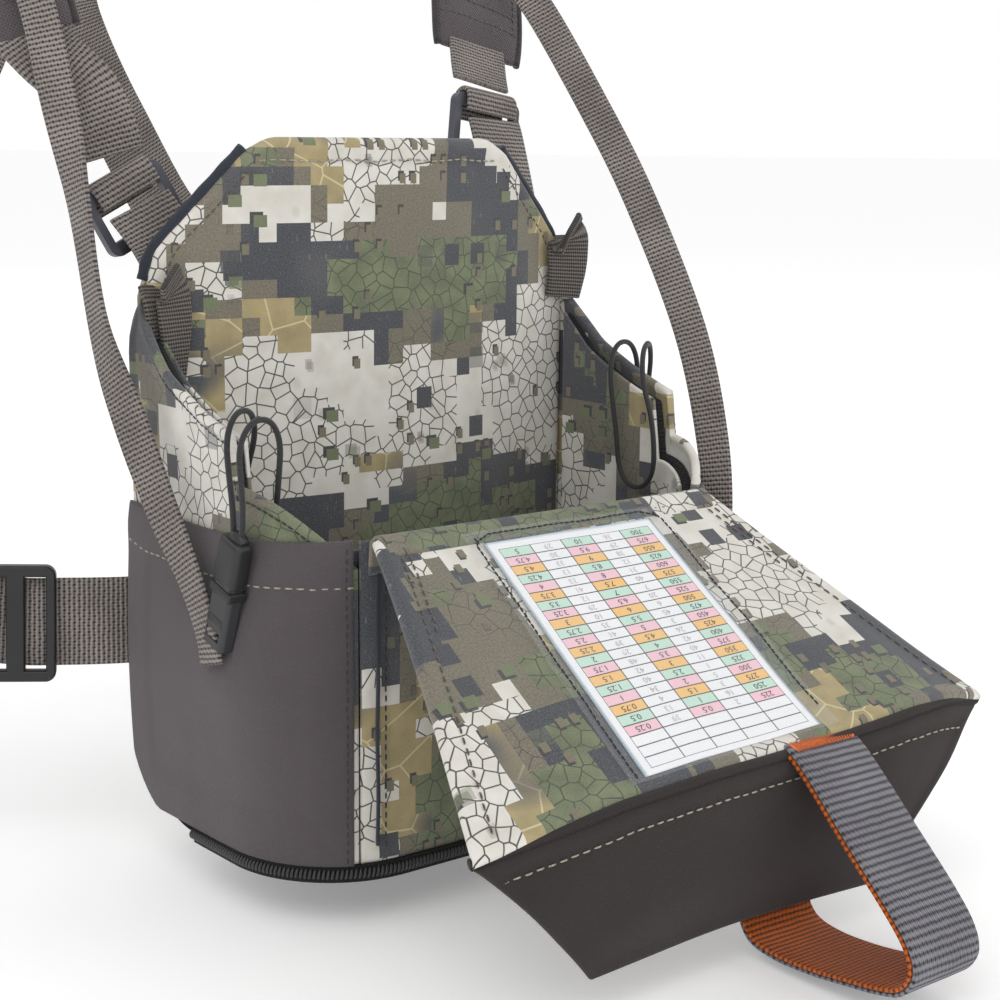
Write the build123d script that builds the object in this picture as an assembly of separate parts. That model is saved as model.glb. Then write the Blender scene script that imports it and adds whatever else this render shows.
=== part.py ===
from build123d import *

import math

# Binocular harness pack worn on the chest, with its shoulder harness.
# Design frame, millimetres: X to the wearer's left, -Y away from the wearer, Z up, z = 0 at the pack's base.
# The export moves everything so that the origin is the centre of the flat face that lies on the chest.

# ---- driving dimensions ----
HALF_WIDTH = 78.0  # pack body, half of its width
FRONT = -40.0  # front wall's outer face
CORNER = 32.0  # front corners, seen from above
BASE_ROUND = 28.0  # rounding between the base and the rear wall
REAR = 46.0  # rear end of the side walls
RIM = 91.0  # front wall's height
SKIN = 1.2  # outer fabric
FOAM = 3.0
LINING = 0.8
GAP = 0.3  # between pieces that only lie against each other

PANEL_RADIUS = 270.0  # the back panel curves round the chest
PANEL_FRONT = 31.0  # its front face at the centre line
PANEL_THICK = 4.0
PANEL_TOP = 190.0
PANEL_TOP_HALF = 42.5
SHOULDER_HALF = 71.0
SHOULDER_Z = 160.0
CHEST_Y = 52.0  # flat rear face of the chest pad
CHEST_Z = 88.0  # height of its centre
CHEST_SIZE = (112.0, 116.0)

HINGE_Y, HINGE_Z = -41.5, 91.5  # lid hinge line
RIDGE_Y, RIDGE_Z = -120.5, 42.5  # fold between the lid and its flap
LID_NEAR_HALF = 57.5
LID_FAR_HALF = 83.0
LID_CROWN = 6.0  # the lid's far end is arched by this much
LID_THICK = 3.6
FLAP_BOTTOM_HALF = 48.6
FLAP_BOTTOM = (-115.6, 0.8)
FLAP_THICK = 3.0

SHOULDER_WEB = 20.0
SIDE_WEB = 25.0
TETHER_WEB = 10.0
LOOP_WEB = 24.0
WEB_THICK = 1.6
CORD_R = 0.8

ORIGIN = Vector(0, CHEST_Y, CHEST_Z)
SIDES = {"left": -1, "right": 1}  # left and right as seen from the front

parts = {}


def block(low, high):
    """Box between two corners."""
    size = [b - a for a, b in zip(low, high)]
    middle = [(a + b) / 2 for a, b in zip(low, high)]
    return Pos(*middle) * Box(*size)


def unit(v):
    v = Vector(*v)
    return v / v.length


# ---- shell of the pack body ----
def plan(inset, rear, height):
    """Prism with the body's outline seen from above, pulled in by inset."""
    w = HALF_WIDTH - inset
    f = FRONT + inset
    r = CORNER - inset
    edges = [
        Line((-w, rear), (-w, f + r)),
        CenterArc((-w + r, f + r), r, 180, 90),
        Line((-w + r, f), (w - r, f)),
        CenterArc((w - r, f + r), r, 270, 90),
        Line((w, f + r), (w, rear)),
        Line((w, rear), (-w, rear)),
    ]
    return extrude(make_face(edges), height)


def side_profile(inset):
    """Prism along X with the body's side view: a flat base that rounds up into the rear wall."""
    r = BASE_ROUND - inset
    rear = REAR - inset
    edges = [
        Line((FRONT - 20, inset), (rear - r, inset)),
        CenterArc((rear - r, inset + r), r, 270, 90),
        Line((rear, inset + r), (rear, 260)),
        Line((rear, 260), (FRONT - 20, 260)),
        Line((FRONT - 20, 260), (FRONT - 20, inset)),
    ]
    face = make_face([Plane.YZ.location * e for e in edges])
    return extrude(face, 120, dir=(1, 0, 0), both=True)


def arc_zone(radius, height=260):
    """Everything in front of the back panel's arc of this radius."""
    centre_y = PANEL_FRONT + PANEL_RADIUS
    half = 100.0
    y_end = centre_y - math.sqrt(radius**2 - half**2)
    edges = [
        ThreePointArc((-half, y_end), (0, centre_y - radius), (half, y_end)),
        Line((half, y_end), (half, -80)),
        Line((half, -80), (-half, -80)),
        Line((-half, -80), (-half, y_end)),
    ]
    return extrude(make_face(edges), height)


def body_block(inset, rear_inset=0.0):
    """Solid of the pack body, pulled in by inset, up to the back panel's front face."""
    zone = plan(inset, REAR + 20, 200) & side_profile(inset)
    return zone & arc_zone(PANEL_RADIUS + GAP + rear_inset)


def rim_cut():
    """Keeps what lies below the rim: level in front, rising along each side to the back panel."""
    top = [
        Line((FRONT - 20, 104), (FRONT, 104)),
        Line((FRONT, 104), (-11, 115)),
        ThreePointArc((-11, 115), (10, 121.5), (26, 130)),
        ThreePointArc((26, 130), (37, 138), (REAR + 20, 158)),
        Line((REAR + 20, 158), (REAR + 20, -5)),
        Line((REAR + 20, -5), (FRONT - 20, -5)),
        Line((FRONT - 20, -5), (FRONT - 20, 104)),
    ]
    side_view = extrude(make_face([Plane.YZ.location * e for e in top]), 120, dir=(1, 0, 0), both=True)
    slope = (104 - 90) / (77 - 64)
    inner_z = 90 - slope * (64 - LID_NEAR_HALF)
    outer_z = inner_z + slope * (HALF_WIDTH - LID_NEAR_HALF)
    half = [(LID_NEAR_HALF, inner_z), (HALF_WIDTH, outer_z), (HALF_WIDTH, 170), (100, 170), (100, -5)]
    other_half = [(-x, z) for x, z in reversed(half)]
    front_view = Plane.XZ * make_face(Polyline(*half, *other_half, half[0]))
    front = extrude(front_view, 120, dir=(0, 1, 0), both=True)
    middle = block((-LID_NEAR_HALF, FRONT - 5, -5), (LID_NEAR_HALF, -8, RIM))
    return side_view & (front + middle + block((-100, -8, -5), (100, REAR + 20, 170)))


BELOW_RIM = rim_cut()
OUTER = body_block(0)
UNDER_POCKET = body_block(SKIN + GAP)
UNDER_SKIN = body_block(2 * SKIN + GAP)
UNDER_FOAM = body_block(2 * SKIN + GAP + FOAM)
INSIDE = body_block(2 * SKIN + GAP + FOAM + LINING, LINING)
LINING_BACK_TOP = 95.0

POCKET_TOP = 91.0
POCKET_EDGE = 60.0
ZIP_TOP = 8.0


def pockets():
    """Stretch pockets that wrap the front corners, flat on the side walls while empty."""
    shell = OUTER - POCKET_INSIDE
    for name, s in SIDES.items():
        x = sorted((s * POCKET_EDGE, s * 90.0))
        zone = block((x[0], FRONT - 5, ZIP_TOP + GAP), (x[1], 38.5, POCKET_TOP))
        parts[f"side_pocket_{name}"] = shell & zone


POCKET_INSIDE = body_block(SKIN)
pockets()


def walls():
    skin = (UNDER_POCKET - UNDER_SKIN) & BELOW_RIM
    upright = block((-90, FRONT - 5, ZIP_TOP + GAP), (90, REAR, 200))
    front_zone = block((-LID_NEAR_HALF, FRONT - 5, 0), (LID_NEAR_HALF, -8, 200))
    rear_trim = block((-90, 30, 0), (90, REAR, BASE_ROUND))
    parts["front_panel"] = skin & upright & front_zone
    for name, s in SIDES.items():
        x = sorted((s * (HALF_WIDTH - 8), s * 90.0))
        straight = block((x[0], -8.5, 0), (x[1], 39.0, 200))
        x = sorted((s * (LID_NEAR_HALF + GAP), s * 90.0))
        corner = block((x[0], FRONT - 5, 0), (x[1], -7.5, 200))
        parts[f"side_panel_{name}"] = skin & upright & (straight + corner) - rear_trim
    base_zone = block((-90, FRONT - 5, -1), (90, REAR, ZIP_TOP)) + rear_trim
    parts["base_panel"] = (UNDER_POCKET - UNDER_SKIN) & base_zone
    behind = block((-HALF_WIDTH + 8, 15, LINING_BACK_TOP), (HALF_WIDTH - 8, 40, 200))
    rim_in = (BELOW_RIM & block((-90, FRONT - 5, -1), (90, 38.0, 200))) - behind
    parts["wall_foam"] = (UNDER_SKIN - UNDER_FOAM) & rim_in
    parts["compartment_lining"] = (UNDER_FOAM - INSIDE) & rim_in


walls()


def back_panel():
    centre_y = PANEL_FRONT + PANEL_RADIUS
    slab = arc_zone(PANEL_RADIUS - PANEL_THICK) - arc_zone(PANEL_RADIUS)
    outline = Plane.XZ * make_face(
        Polyline(
            (-HALF_WIDTH + 1, 0), (-HALF_WIDTH + 1, 140), (-SHOULDER_HALF, SHOULDER_Z),
            (-PANEL_TOP_HALF, PANEL_TOP), (PANEL_TOP_HALF, PANEL_TOP), (SHOULDER_HALF, SHOULDER_Z),
            (HALF_WIDTH - 1, 140), (HALF_WIDTH - 1, 0), (-HALF_WIDTH + 1, 0),
        )
    )
    outline = extrude(outline, 120, dir=(0, 1, 0), both=True)
    corners = outline.edges().filter_by(Axis.Y).group_by(Axis.Z)[-1]
    outline = fillet(corners, 8)
    foot = side_profile(2 * SKIN + GAP)
    panel = slab & outline & foot
    board_zone = block((-56, 0, 34), (56, 60, 168))
    board = arc_zone(PANEL_RADIUS - 2.6) - arc_zone(PANEL_RADIUS - 1.4)
    board = board & board_zone
    magnets = []
    for x in (-26, 26):
        turn = math.degrees(math.asin(x / PANEL_RADIUS))
        y = centre_y - (PANEL_RADIUS - 2.0) * math.cos(math.radians(turn))
        disc = Pos(x, y, 179) * Rot(0, 0, turn) * Rot(90, 0, 0) * Cylinder(5.0, 1.6)
        magnets.append(disc)
        panel = panel - disc
    parts["back_panel"] = panel - board
    parts["back_stiffener"] = board
    parts["panel_magnets"] = Compound(children=magnets)


back_panel()


def chest_pad():
    w, h = CHEST_SIZE
    outline = Pos(0, 0, CHEST_Z) * (Plane.XZ * RectangleRounded(w, h, 16))
    solid = extrude(outline, CHEST_Y, dir=(0, 1, 0))
    parts["chest_pad"] = solid - arc_zone(PANEL_RADIUS - PANEL_THICK - GAP)


chest_pad()


def zipper():
    """Coil zipper round the base, with its slider on the right side and a pull that swings flat."""
    rear_end = 14.0
    zone = block((-90, FRONT - 5, 0.4), (90, rear_end, ZIP_TOP))
    parts["zipper_tape"] = (body_block(0.2) - POCKET_INSIDE) & zone
    coil_z = 4.2
    w = HALF_WIDTH + 0.9
    f = FRONT - 0.9
    r = CORNER + 0.9
    path = Wire([
        Edge.make_line((-w, rear_end, coil_z), (-w, f + r, coil_z)),
        Edge.make_three_point_arc(
            (-w, f + r, coil_z),
            (-w + r * (1 - math.cos(math.pi / 4)), f + r * (1 - math.sin(math.pi / 4)), coil_z),
            (-w + r, f, coil_z),
        ),
        Edge.make_line((-w + r, f, coil_z), (w - r, f, coil_z)),
        Edge.make_three_point_arc(
            (w - r, f, coil_z),
            (w - r * (1 - math.cos(math.pi / 4)), f + r * (1 - math.sin(math.pi / 4)), coil_z),
            (w, f + r, coil_z),
        ),
        Edge.make_line((w, f + r, coil_z), (w, rear_end, coil_z)),
    ])
    section = Plane(origin=(-w, rear_end, coil_z), z_dir=(0, -1, 0)) * Circle(1.0)
    parts["zipper_coil"] = sweep(section, path=path)
    body = Pos(w + 0.6, SLIDER_Y, coil_z) * Box(4.6, 10.0, 7.0)
    body = fillet(body.edges().filter_by(Axis.X), 2.0)
    channel = block((w - 3.0, 0, coil_z - 1.3), (w + 1.3, 20, coil_z + 1.3))
    inner = block((w - 3.0, 0, -5), (w - 0.4, 20, 20))
    face_x = w + 2.9
    bail = block((face_x, SLIDER_Y - 3.2, coil_z - 1.1), (face_x + 3.4, SLIDER_Y + 3.2, coil_z + 1.1))
    bail = bail - block((face_x, SLIDER_Y - 2.0, -5), (face_x + 2.2, SLIDER_Y + 2.0, 20))
    parts["zipper_slider"] = body - channel - inner + bail
    return Vector(face_x + 1.1, SLIDER_Y, coil_z)


SLIDER_Y = 8.0
PULL_AXIS = zipper()


def zipper_pull():
    """Pull whose end bar turns under the slider's bail."""
    x, y, z = PULL_AXIS
    end = Pos(x, y, z) * Cylinder(0.6, 6.4)
    arms = [Pos(x, y + 3.6, z + side * 2.6) * Box(1.2, 7.2, 1.2) for side in (-1, 1)]
    tab = Pos(x, y + 14.0, z) * Box(1.2, 14.0, 6.4)
    tab = fillet(tab.edges().filter_by(Axis.X), 1.8)
    parts["zipper_pull"] = end + arms[0] + arms[1] + tab


zipper_pull()


def elastic_tabs():
    """Woven elastic tabs that tie the rear corner of each side wall to the back panel."""
    for name, s in SIDES.items():
        tab = Box(15.0, 2.4, 26.0)
        tab = fillet(tab.edges().filter_by(Axis.Y), 4.0)
        parts[f"elastic_tab_{name}"] = Pos(s * 73.0, 36.4, 154.0) * Rot(0, s * -8, s * 14) * tab


elastic_tabs()


# ---- lid, flap and grab loop ----
LID_LENGTH = math.hypot(RIDGE_Y - HINGE_Y, RIDGE_Z - HINGE_Z)
LID_DIR = Vector(0, (RIDGE_Y - HINGE_Y) / LID_LENGTH, (RIDGE_Z - HINGE_Z) / LID_LENGTH)
LID_UP = Vector(0, LID_DIR.Z, -LID_DIR.Y)


def lid_half(v):
    return LID_NEAR_HALF + (LID_FAR_HALF - LID_NEAR_HALF) * v / LID_LENGTH


def crown(x, v):
    """Height of the lid's arch over its corners' level."""
    share = v / LID_LENGTH
    return LID_CROWN * share * (1 - (x / LID_FAR_HALF) ** 2) - LID_CROWN * share / 2


def lid_point(x, v, up):
    base = Vector(x, HINGE_Y, HINGE_Z) + LID_DIR * v
    return base + LID_UP * (up + crown(x, v))


def lid_section(x0, x1, v, low, high):
    """Closed outline across the lid at distance v from the hinge, between two heights."""
    xm = (x0 + x1) / 2
    a, b = lid_point(x0, v, low), lid_point(x1, v, low)
    c, d = lid_point(x1, v, high), lid_point(x0, v, high)
    return Wire([
        Edge.make_three_point_arc(a, lid_point(xm, v, low), b),
        Edge.make_line(b, c),
        Edge.make_three_point_arc(c, lid_point(xm, v, high), d),
        Edge.make_line(d, a),
    ])


def lid_layer(near, far, v0, v1, low, high):
    """Layer of the lid: near and far are its two ends' (x0, x1)."""
    sections = [lid_section(*near, v0, low, high), lid_section(*far, v1, low, high)]
    return Solid.make_loft(sections, True)


def lid():
    start, end = 4.5, LID_LENGTH - 3.4
    near, far = lid_half(start), lid_half(end)
    top = LID_THICK / 2
    shell = lid_layer((-near, near), (-far, far), start, end, -top, top)
    board = lid_layer((-near + 8, near - 8), (-far + 10, far - 10), start + 7, end - 7, -0.7, 0.7)
    parts["lid_panel"] = shell - board
    parts["lid_stiffener"] = board
    parts["chart_card"] = lid_layer((-29, 29), (-35, 23), 10.5, 84, top + 0.25, top + 0.6)
    parts["window_film"] = lid_layer((-34, 34), (-40, 28), 6, 87, top + 0.85, top + 1.3)


lid()


def flap():
    """Closing flap: a flat sheet, arched where it meets the lid, narrower at its free end."""
    top = Vector(0, RIDGE_Y - 0.6, RIDGE_Z - LID_CROWN / 2 - 3.6)
    bottom = Vector(0, *FLAP_BOTTOM)
    down = bottom - top
    height = down.length
    plane = Plane(origin=bottom, x_dir=(1, 0, 0), z_dir=Vector(1, 0, 0).cross(down * -1))
    outline = [
        ThreePointArc((-LID_FAR_HALF, height), (0, height + LID_CROWN), (LID_FAR_HALF, height)),
        Line((LID_FAR_HALF, height), (FLAP_BOTTOM_HALF, 0)),
        Line((FLAP_BOTTOM_HALF, 0), (-FLAP_BOTTOM_HALF, 0)),
        Line((-FLAP_BOTTOM_HALF, 0), (-LID_FAR_HALF, height)),
    ]
    body = plane * extrude(make_face(outline), FLAP_THICK / 2, both=True)
    magnets = [plane * Pos(x, 16, 0) * Cylinder(5.0, 1.4) for x in (-26, 26)]
    parts["flap_panel"] = body - magnets[0] - magnets[1]
    parts["flap_magnets"] = Compound(children=magnets)


flap()


def ribbon(route, width, thick):
    """Flat webbing through route, a list of (point, direction its face looks); width may be a list."""
    points = [Vector(*p) for p, _ in route]
    count = len(points)
    widths = width if isinstance(width, (list, tuple)) else [width] * count
    sections = []
    for i, (point, (_, face)) in enumerate(zip(points, route)):
        ahead = points[min(i + 1, count - 1)]
        behind = points[max(i - 1, 0)]
        along = (ahead - behind).normalized()
        across = along.cross(Vector(*face)).normalized()
        out = across.cross(along).normalized()
        w, t = across * (widths[i] / 2), out * (thick / 2)
        corners = [point - w - t, point + w - t, point + w + t, point - w + t]
        sections.append(Wire.make_polygon(corners, close=True))
    return Solid.make_loft(sections, True)


def smooth(route, steps=4):
    """Denser copy of a route, on a curve through its points."""
    points = [Vector(*p) for p, _ in route]
    faces = [unit(f) for _, f in route]
    out = []
    for i in range(len(points) - 1):
        p0 = points[max(i - 1, 0)]
        p1, p2 = points[i], points[i + 1]
        p3 = points[min(i + 2, len(points) - 1)]
        for k in range(steps):
            t = k / steps
            a = p1 * 2
            b = (p2 - p0) * t
            c = (p0 * 2 - p1 * 5 + p2 * 4 - p3) * t**2
            d = (p1 * 3 - p0 - p2 * 3 + p3) * t**3
            face = faces[i] * (1 - t) + faces[i + 1] * t
            out.append((tuple((a + b + c + d) * 0.5), tuple(face)))
    out.append((tuple(points[-1]), tuple(faces[-1])))
    return out


LOOP_X = 20.0
LOOP_ROUTE = [  # (y, z) of the grab loop's middle, from the seam at the fold, out and back under the flap
    (-125.2, 41.2), (-133.0, 35.0), (-145.0, 25.0), (-158.0, 15.0), (-166.0, 7.5), (-168.2, 1.5),
    (-164.5, -3.6), (-157.0, -5.6), (-146.0, -6.8), (-134.0, -8.4), (-122.0, -9.2), (-110.0, -8.6),
]


def loop_faces():
    """The route with the direction that the loop's outer face looks at each point."""
    route = []
    last = len(LOOP_ROUTE) - 1
    for i, (y, z) in enumerate(LOOP_ROUTE):
        y0, z0 = LOOP_ROUTE[max(i - 1, 0)]
        y1, z1 = LOOP_ROUTE[min(i + 1, last)]
        route.append(((LOOP_X, y, z), (0, (z1 - z0), -(y1 - y0))))
    return route


def shifted(route, step):
    """The route moved along its faces."""
    out = []
    for p, f in route:
        n = unit(f)
        out.append((tuple(Vector(*p) + n * step), f))
    return out


def grab_loop():
    route = smooth(loop_faces(), 2)
    parts["grab_loop_webbing"] = ribbon(shifted(route, 0.5), LOOP_WEB, 0.96)
    parts["grab_loop_lining"] = ribbon(shifted(route, -0.55), LOOP_WEB - 1, 0.96)
    parts["loop_bartack"] = ribbon(shifted(route[1:3], 1.4), LOOP_WEB - 3, 0.6)


grab_loop()

# ---- harness ----
TETHER_FACE = (-0.62, -0.76, 0.18)  # the way the upper tethers' faces look
PAD_THICK = 4.0
YOKE_Y = 261.2

# shoulder webbing: rises from behind the panel to the buckle's bar
ANCHOR_ROUTES = {
    "left": [
        ((-60.0, 45.4, 147.5), (0, -1, 0.1)), ((-60.6, 46.4, 152), (0, -1, 0.25)),
        ((-62.0, 50.5, 161), (-0.2, -0.9, 0.45)), ((-66.0, 57.6, 171), (-0.3, -0.85, 0.5)),
    ],
    "right": [
        ((60.0, 45.4, 147.5), (0, -1, 0.1)), ((60.4, 46.8, 156), (0, -1, 0.2)),
        ((61.2, 50.5, 170), (0, -0.95, 0.3)), ((62.2, 58.0, 189), (0, -0.92, 0.38)),
        ((62.8, 61.4, 195.5), (0, -0.9, 0.4)),
    ],
}
BAR = {  # centre of each buckle's bar, its direction, and the buckle's way down
    "left": (Vector(-68.6, 63.4, 176.6), unit((0.89, 0.0, 0.455)), unit((-0.02, -0.12, -0.9))),
    "right": (Vector(63.2, 66.2, 200.6), unit((0.985, 0.0, -0.17)), unit((0.0, -0.1, -0.95))),
}
WEB_ROUTES = {  # from above the buckle up into the shoulder pad
    "left": [
        ((-70.4, 66.2, 184.5), (-0.35, -0.9, 0.3)), ((-73.4, 65.6, 193), (-0.35, -0.9, 0.3)),
        ((-77.5, 67.5, 203), (-0.3, -0.9, 0.35)), ((-84.5, 73.6, 211.5), (-0.3, -0.9, 0.4)),
        ((-89.4, 79.4, 219), (-0.3, -0.85, 0.45)),
    ],
    "right": [
        ((64.6, 70.4, 207.0), (-0.1, -0.92, 0.38)), ((66.8, 74.4, 211.5), (-0.1, -0.9, 0.4)),
        ((70.6, 80.6, 219.5), (-0.1, -0.88, 0.45)),
    ],
}
PAD_ROUTES = {
    "left": [
        ((-88.2, 77.6, 216.0), (-0.3, -0.85, 0.45)), ((-93.0, 90.0, 238), (-0.3, -0.83, 0.45)),
        ((-97.0, 112.0, 271), (-0.3, -0.7, 0.65)), ((-98.0, 143.0, 300), (-0.22, -0.35, 0.9)),
        ((-95.0, 182.0, 314), (-0.2, 0.1, 0.97)), ((-86.0, 220.0, 309), (-0.15, 0.5, 0.85)),
        ((-70.0, 246.0, 290), (-0.1, 0.85, 0.5)), ((-50.0, 258.6, 268), (0, 1, 0.05)),
    ],
    "right": [
        ((70.4, 79.9, 216.6), (-0.1, -0.88, 0.45)), ((79.0, 92.0, 240), (0.1, -0.85, 0.5)),
        ((88.0, 114.0, 272), (0.2, -0.7, 0.65)), ((94.0, 143.0, 300), (0.22, -0.35, 0.9)),
        ((94.0, 182.0, 314), (0.2, 0.1, 0.97)), ((86.0, 220.0, 309), (0.15, 0.5, 0.85)),
        ((70.0, 246.0, 290), (0.1, 0.85, 0.5)), ((50.0, 258.6, 268), (0, 1, 0.05)),
    ],
}
PAD_WIDTHS = [29.0, 36.0, 44.0, 48.0, 50.0, 50.0, 46.0, 40.0]


def shoulder_straps():
    for name in SIDES:
        parts[f"anchor_webbing_{name}"] = ribbon(smooth(ANCHOR_ROUTES[name], 2), SHOULDER_WEB, WEB_THICK)
        web = ribbon(smooth(WEB_ROUTES[name], 2), SHOULDER_WEB, WEB_THICK)
        steps = 2
        route = smooth(PAD_ROUTES[name], steps)
        widths = []
        for i in range(len(route)):
            whole, part = divmod(i, steps)
            nearest = PAD_WIDTHS[min(whole + 1, len(PAD_WIDTHS) - 1)]
            widths.append(PAD_WIDTHS[whole] + (nearest - PAD_WIDTHS[whole]) * part / steps)
        pad = ribbon(route, widths, PAD_THICK)
        parts[f"shoulder_webbing_{name}"] = web - pad
        parts[f"shoulder_pad_{name}"] = pad


shoulder_straps()


def back_yoke():
    """Plate below the neck that gathers both shoulder pads and both side straps."""
    outline = Plane.XZ * make_face(
        Polyline(
            (-66, 272), (-32, 300), (32, 300), (66, 272), (48, 250),
            (30, 241), (-30, 241), (-48, 250), (-66, 272),
        )
    )
    solid = extrude(Pos(0, YOKE_Y, 0) * outline, 5, dir=(0, 1, 0))
    solid = fillet(solid.edges().filter_by(Axis.Y), 8)
    parts["back_yoke"] = solid


back_yoke()

SIDE_ROUTE = [  # left side strap, from the pack's rear corner round the chest to the yoke
    ((-61.0, 43.9, 56.0), (0.2, -1, 0)), ((-70.0, 46.6, 56.0), (-0.25, -0.97, 0)),
    ((-79.0, 49.6, 56.0), (-0.4, -0.9, 0)), ((-92.0, 55.4, 56.4), (-0.45, -0.9, 0)),
    ((-106.0, 63.6, 57.0), (-0.55, -0.85, 0)), ((-124.0, 79.0, 60.0), (-0.75, -0.65, 0)),
    ((-140.0, 108.0, 67.0), (-0.95, -0.3, 0)), ((-147.0, 145.0, 79.0), (-1, 0, 0)),
    ((-142.0, 186.0, 96.0), (-0.95, 0.3, 0)), ((-122.0, 224.0, 116.0), (-0.7, 0.7, 0)),
    ((-92.0, 248.0, 134.0), (-0.4, 0.9, 0)), ((-62.0, 258.0, 152.0), (-0.1, 1, 0)),
    ((-36.0, 259.6, 194.0), (0, 1, 0)), ((-17.0, 259.6, 232.0), (0, 1, 0)), ((-14.0, 259.6, 256.0), (0, 1, 0)),
]


def side_straps():
    for name, s in SIDES.items():
        route = [((-s * p[0], p[1], p[2]), (-s * f[0], f[1], f[2])) for p, f in SIDE_ROUTE]
        parts[f"side_strap_{name}"] = ribbon(smooth(route, 2), SIDE_WEB, WEB_THICK)


side_straps()

TRIGLIDE_AT = Vector(-104.6, 62.9, 56.9)
TRIGLIDE_ALONG = unit((-0.86, 0.5, 0.03))


def triglides():
    """Three-bar slides that set the length of each side strap; the webbing runs behind the middle bar."""
    frame = Box(22.0, 33.0, 3.2)
    frame = fillet(frame.edges().filter_by(Axis.Z), 3.0)
    for y in (-5.4, 5.4):
        frame = frame - Pos(y, 0, 0) * Box(5.6, 26.6, 8)
    frame = fillet(frame.edges().group_by(Axis.Z)[-1], 0.8)
    for name, s in SIDES.items():
        along = Vector(-s * TRIGLIDE_ALONG.X, TRIGLIDE_ALONG.Y, TRIGLIDE_ALONG.Z)
        at = Vector(-s * TRIGLIDE_AT.X, TRIGLIDE_AT.Y, TRIGLIDE_AT.Z)
        out = Vector(s * 0.5, -0.86, 0).normalized()
        plane = Plane(origin=at + out * 2.9, x_dir=along, z_dir=out)
        parts[f"side_triglide_{name}"] = plane * frame


triglides()


def ladder_lock():
    """Webbing adjuster lying in XY: bar across at y = 0, body downwards along -Y, ring at its end."""
    outer = Pos(0, -7.5, 0) * Box(26.0, 19.0, 3.0)
    outer = fillet(outer.edges().filter_by(Axis.Z), 3.0)
    slot = Pos(0, -7.4, 0) * Box(21.2, 11.4, 8)
    body = outer - slot
    neck = Pos(0, -19.0, 0) * Box(13.0, 7.0, 4.2)
    neck = fillet(neck.edges().filter_by(Axis.Y), 1.2)
    ring = Pos(0, -27.0, 0) * extrude(Ellipse(6.0, 8.0), 1.5, both=True)
    hole = Pos(0, -28.0, 0) * extrude(Ellipse(3.2, 4.8), 6, both=True)
    return body + neck + (ring - hole)


def buckles():
    lock = ladder_lock()
    for name, (centre, across, down) in BAR.items():
        normal = across.cross(down * -1).normalized()
        plane = Plane(origin=centre, x_dir=across, z_dir=normal)
        parts[f"ladder_lock_{name}"] = plane * lock
        fold(name, plane)


def fold(name, plane):
    """Sewn fold of the anchor webbing over the buckle's bar, clear of it all round."""
    inner, outer = 2.7, 2.7 + WEB_THICK
    ring = extrude(Circle(outer) - Circle(inner), SHOULDER_WEB / 2, both=True)
    lower = Pos(0, -20, 0) * Box(40, 40, 40)
    arch = ring - lower
    front = Pos(-(inner + outer) / 2, -2.0, 0) * Box(WEB_THICK, 4.0, SHOULDER_WEB)
    back = Pos((inner + outer) / 2, -3.0, 0) * Box(WEB_THICK, 6.0, SHOULDER_WEB)
    shape = Rot(0, 90, 0) * (arch + front + back)
    parts[f"webbing_fold_{name}"] = plane * shape


buckles()

# ---- tethers ----
TETHER_ROUTES = {
    "left": [
        ((-92.6, 83.6, 243.0), TETHER_FACE), ((-89.0, 72.6, 229.0), TETHER_FACE),
        ((-86.6, 64.2, 200.4), TETHER_FACE), ((-85.6, 55.6, 173.0), TETHER_FACE),
        ((-86.8, 43.4, 138.8), (-0.7, -0.7, 0.15)), ((-87.0, 27.4, 116.2), (-0.8, -0.55, 0.2)),
        ((-85.6, 13.6, 94.2), (-0.9, -0.4, 0.2)), ((-84.2, 2.6, 77.8), (-1, -0.1, 0.1)),
        ((-83.4, -3.8, 65.0), (-1, 0, 0)), ((-83.2, -6.4, 56.0), (-1, 0, 0)),
    ],
    "right": [
        ((81.0, 83.6, 246.0), TETHER_FACE), ((84.0, 68.0, 233.8), TETHER_FACE),
        ((86.0, 41.6, 202.2), TETHER_FACE), ((88.0, 19.6, 171.5), TETHER_FACE),
        ((88.4, -3.6, 132.8), (-0.7, -0.7, 0.15)), ((86.8, -16.2, 100.5), (-0.8, -0.55, 0.2)),
        ((84.8, -21.2, 74.6), (-1, -0.3, 0)), ((83.6, -19.6, 62.0), (-1, 0, 0)),
    ],
}
CLIPS = {  # bottom and top of each clip
    "left": (Vector(-81.7, -7.6, 61.5), Vector(-81.3, -16.8, 90.5)),
    "right": (Vector(82.0, -14.8, 68.0), Vector(81.7, 8.2, 89.0)),
}
CLIP_W, CLIP_T = 9.0, 5.2


def tethers():
    for name in SIDES:
        parts[f"tether_webbing_{name}"] = ribbon(smooth(TETHER_ROUTES[name], 2), TETHER_WEB, 1.4)


tethers()


def clips():
    """Small push-in clips: a socket sewn to the tether, and a plug that carries the cord."""
    prong_w, prong_t, depth = 5.6, 2.2, 9.0
    for name, (low, high) in CLIPS.items():
        length = (high - low).length
        up = (high - low).normalized()
        plane = Plane(origin=low, x_dir=up.cross(Vector(1, 0, 0)).normalized(), z_dir=up)
        socket = Pos(0, 0, 8.5) * Box(CLIP_W, CLIP_T, 17)
        socket = fillet(socket.edges().filter_by(Axis.Z), 1.6)
        socket = socket - Pos(0, 0, 17 - depth / 2) * Box(prong_w + 0.8, prong_t + 0.8, depth + 1.4)
        socket = socket - Pos(0, 0, 3.4) * Box(6.0, 20, 2.6)
        head_low = 17.2
        head = Pos(0, 0, (head_low + length) / 2) * Box(CLIP_W - 0.6, CLIP_T - 0.4, length - head_low)
        head = fillet(head.edges().filter_by(Axis.Z), 1.5)
        prong = Pos(0, 0, head_low - (depth - 1) / 2) * Box(prong_w, prong_t, depth - 1)
        parts[f"tether_socket_{name}"] = plane * socket
        parts[f"tether_plug_{name}"] = plane * (head + prong)


clips()

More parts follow.
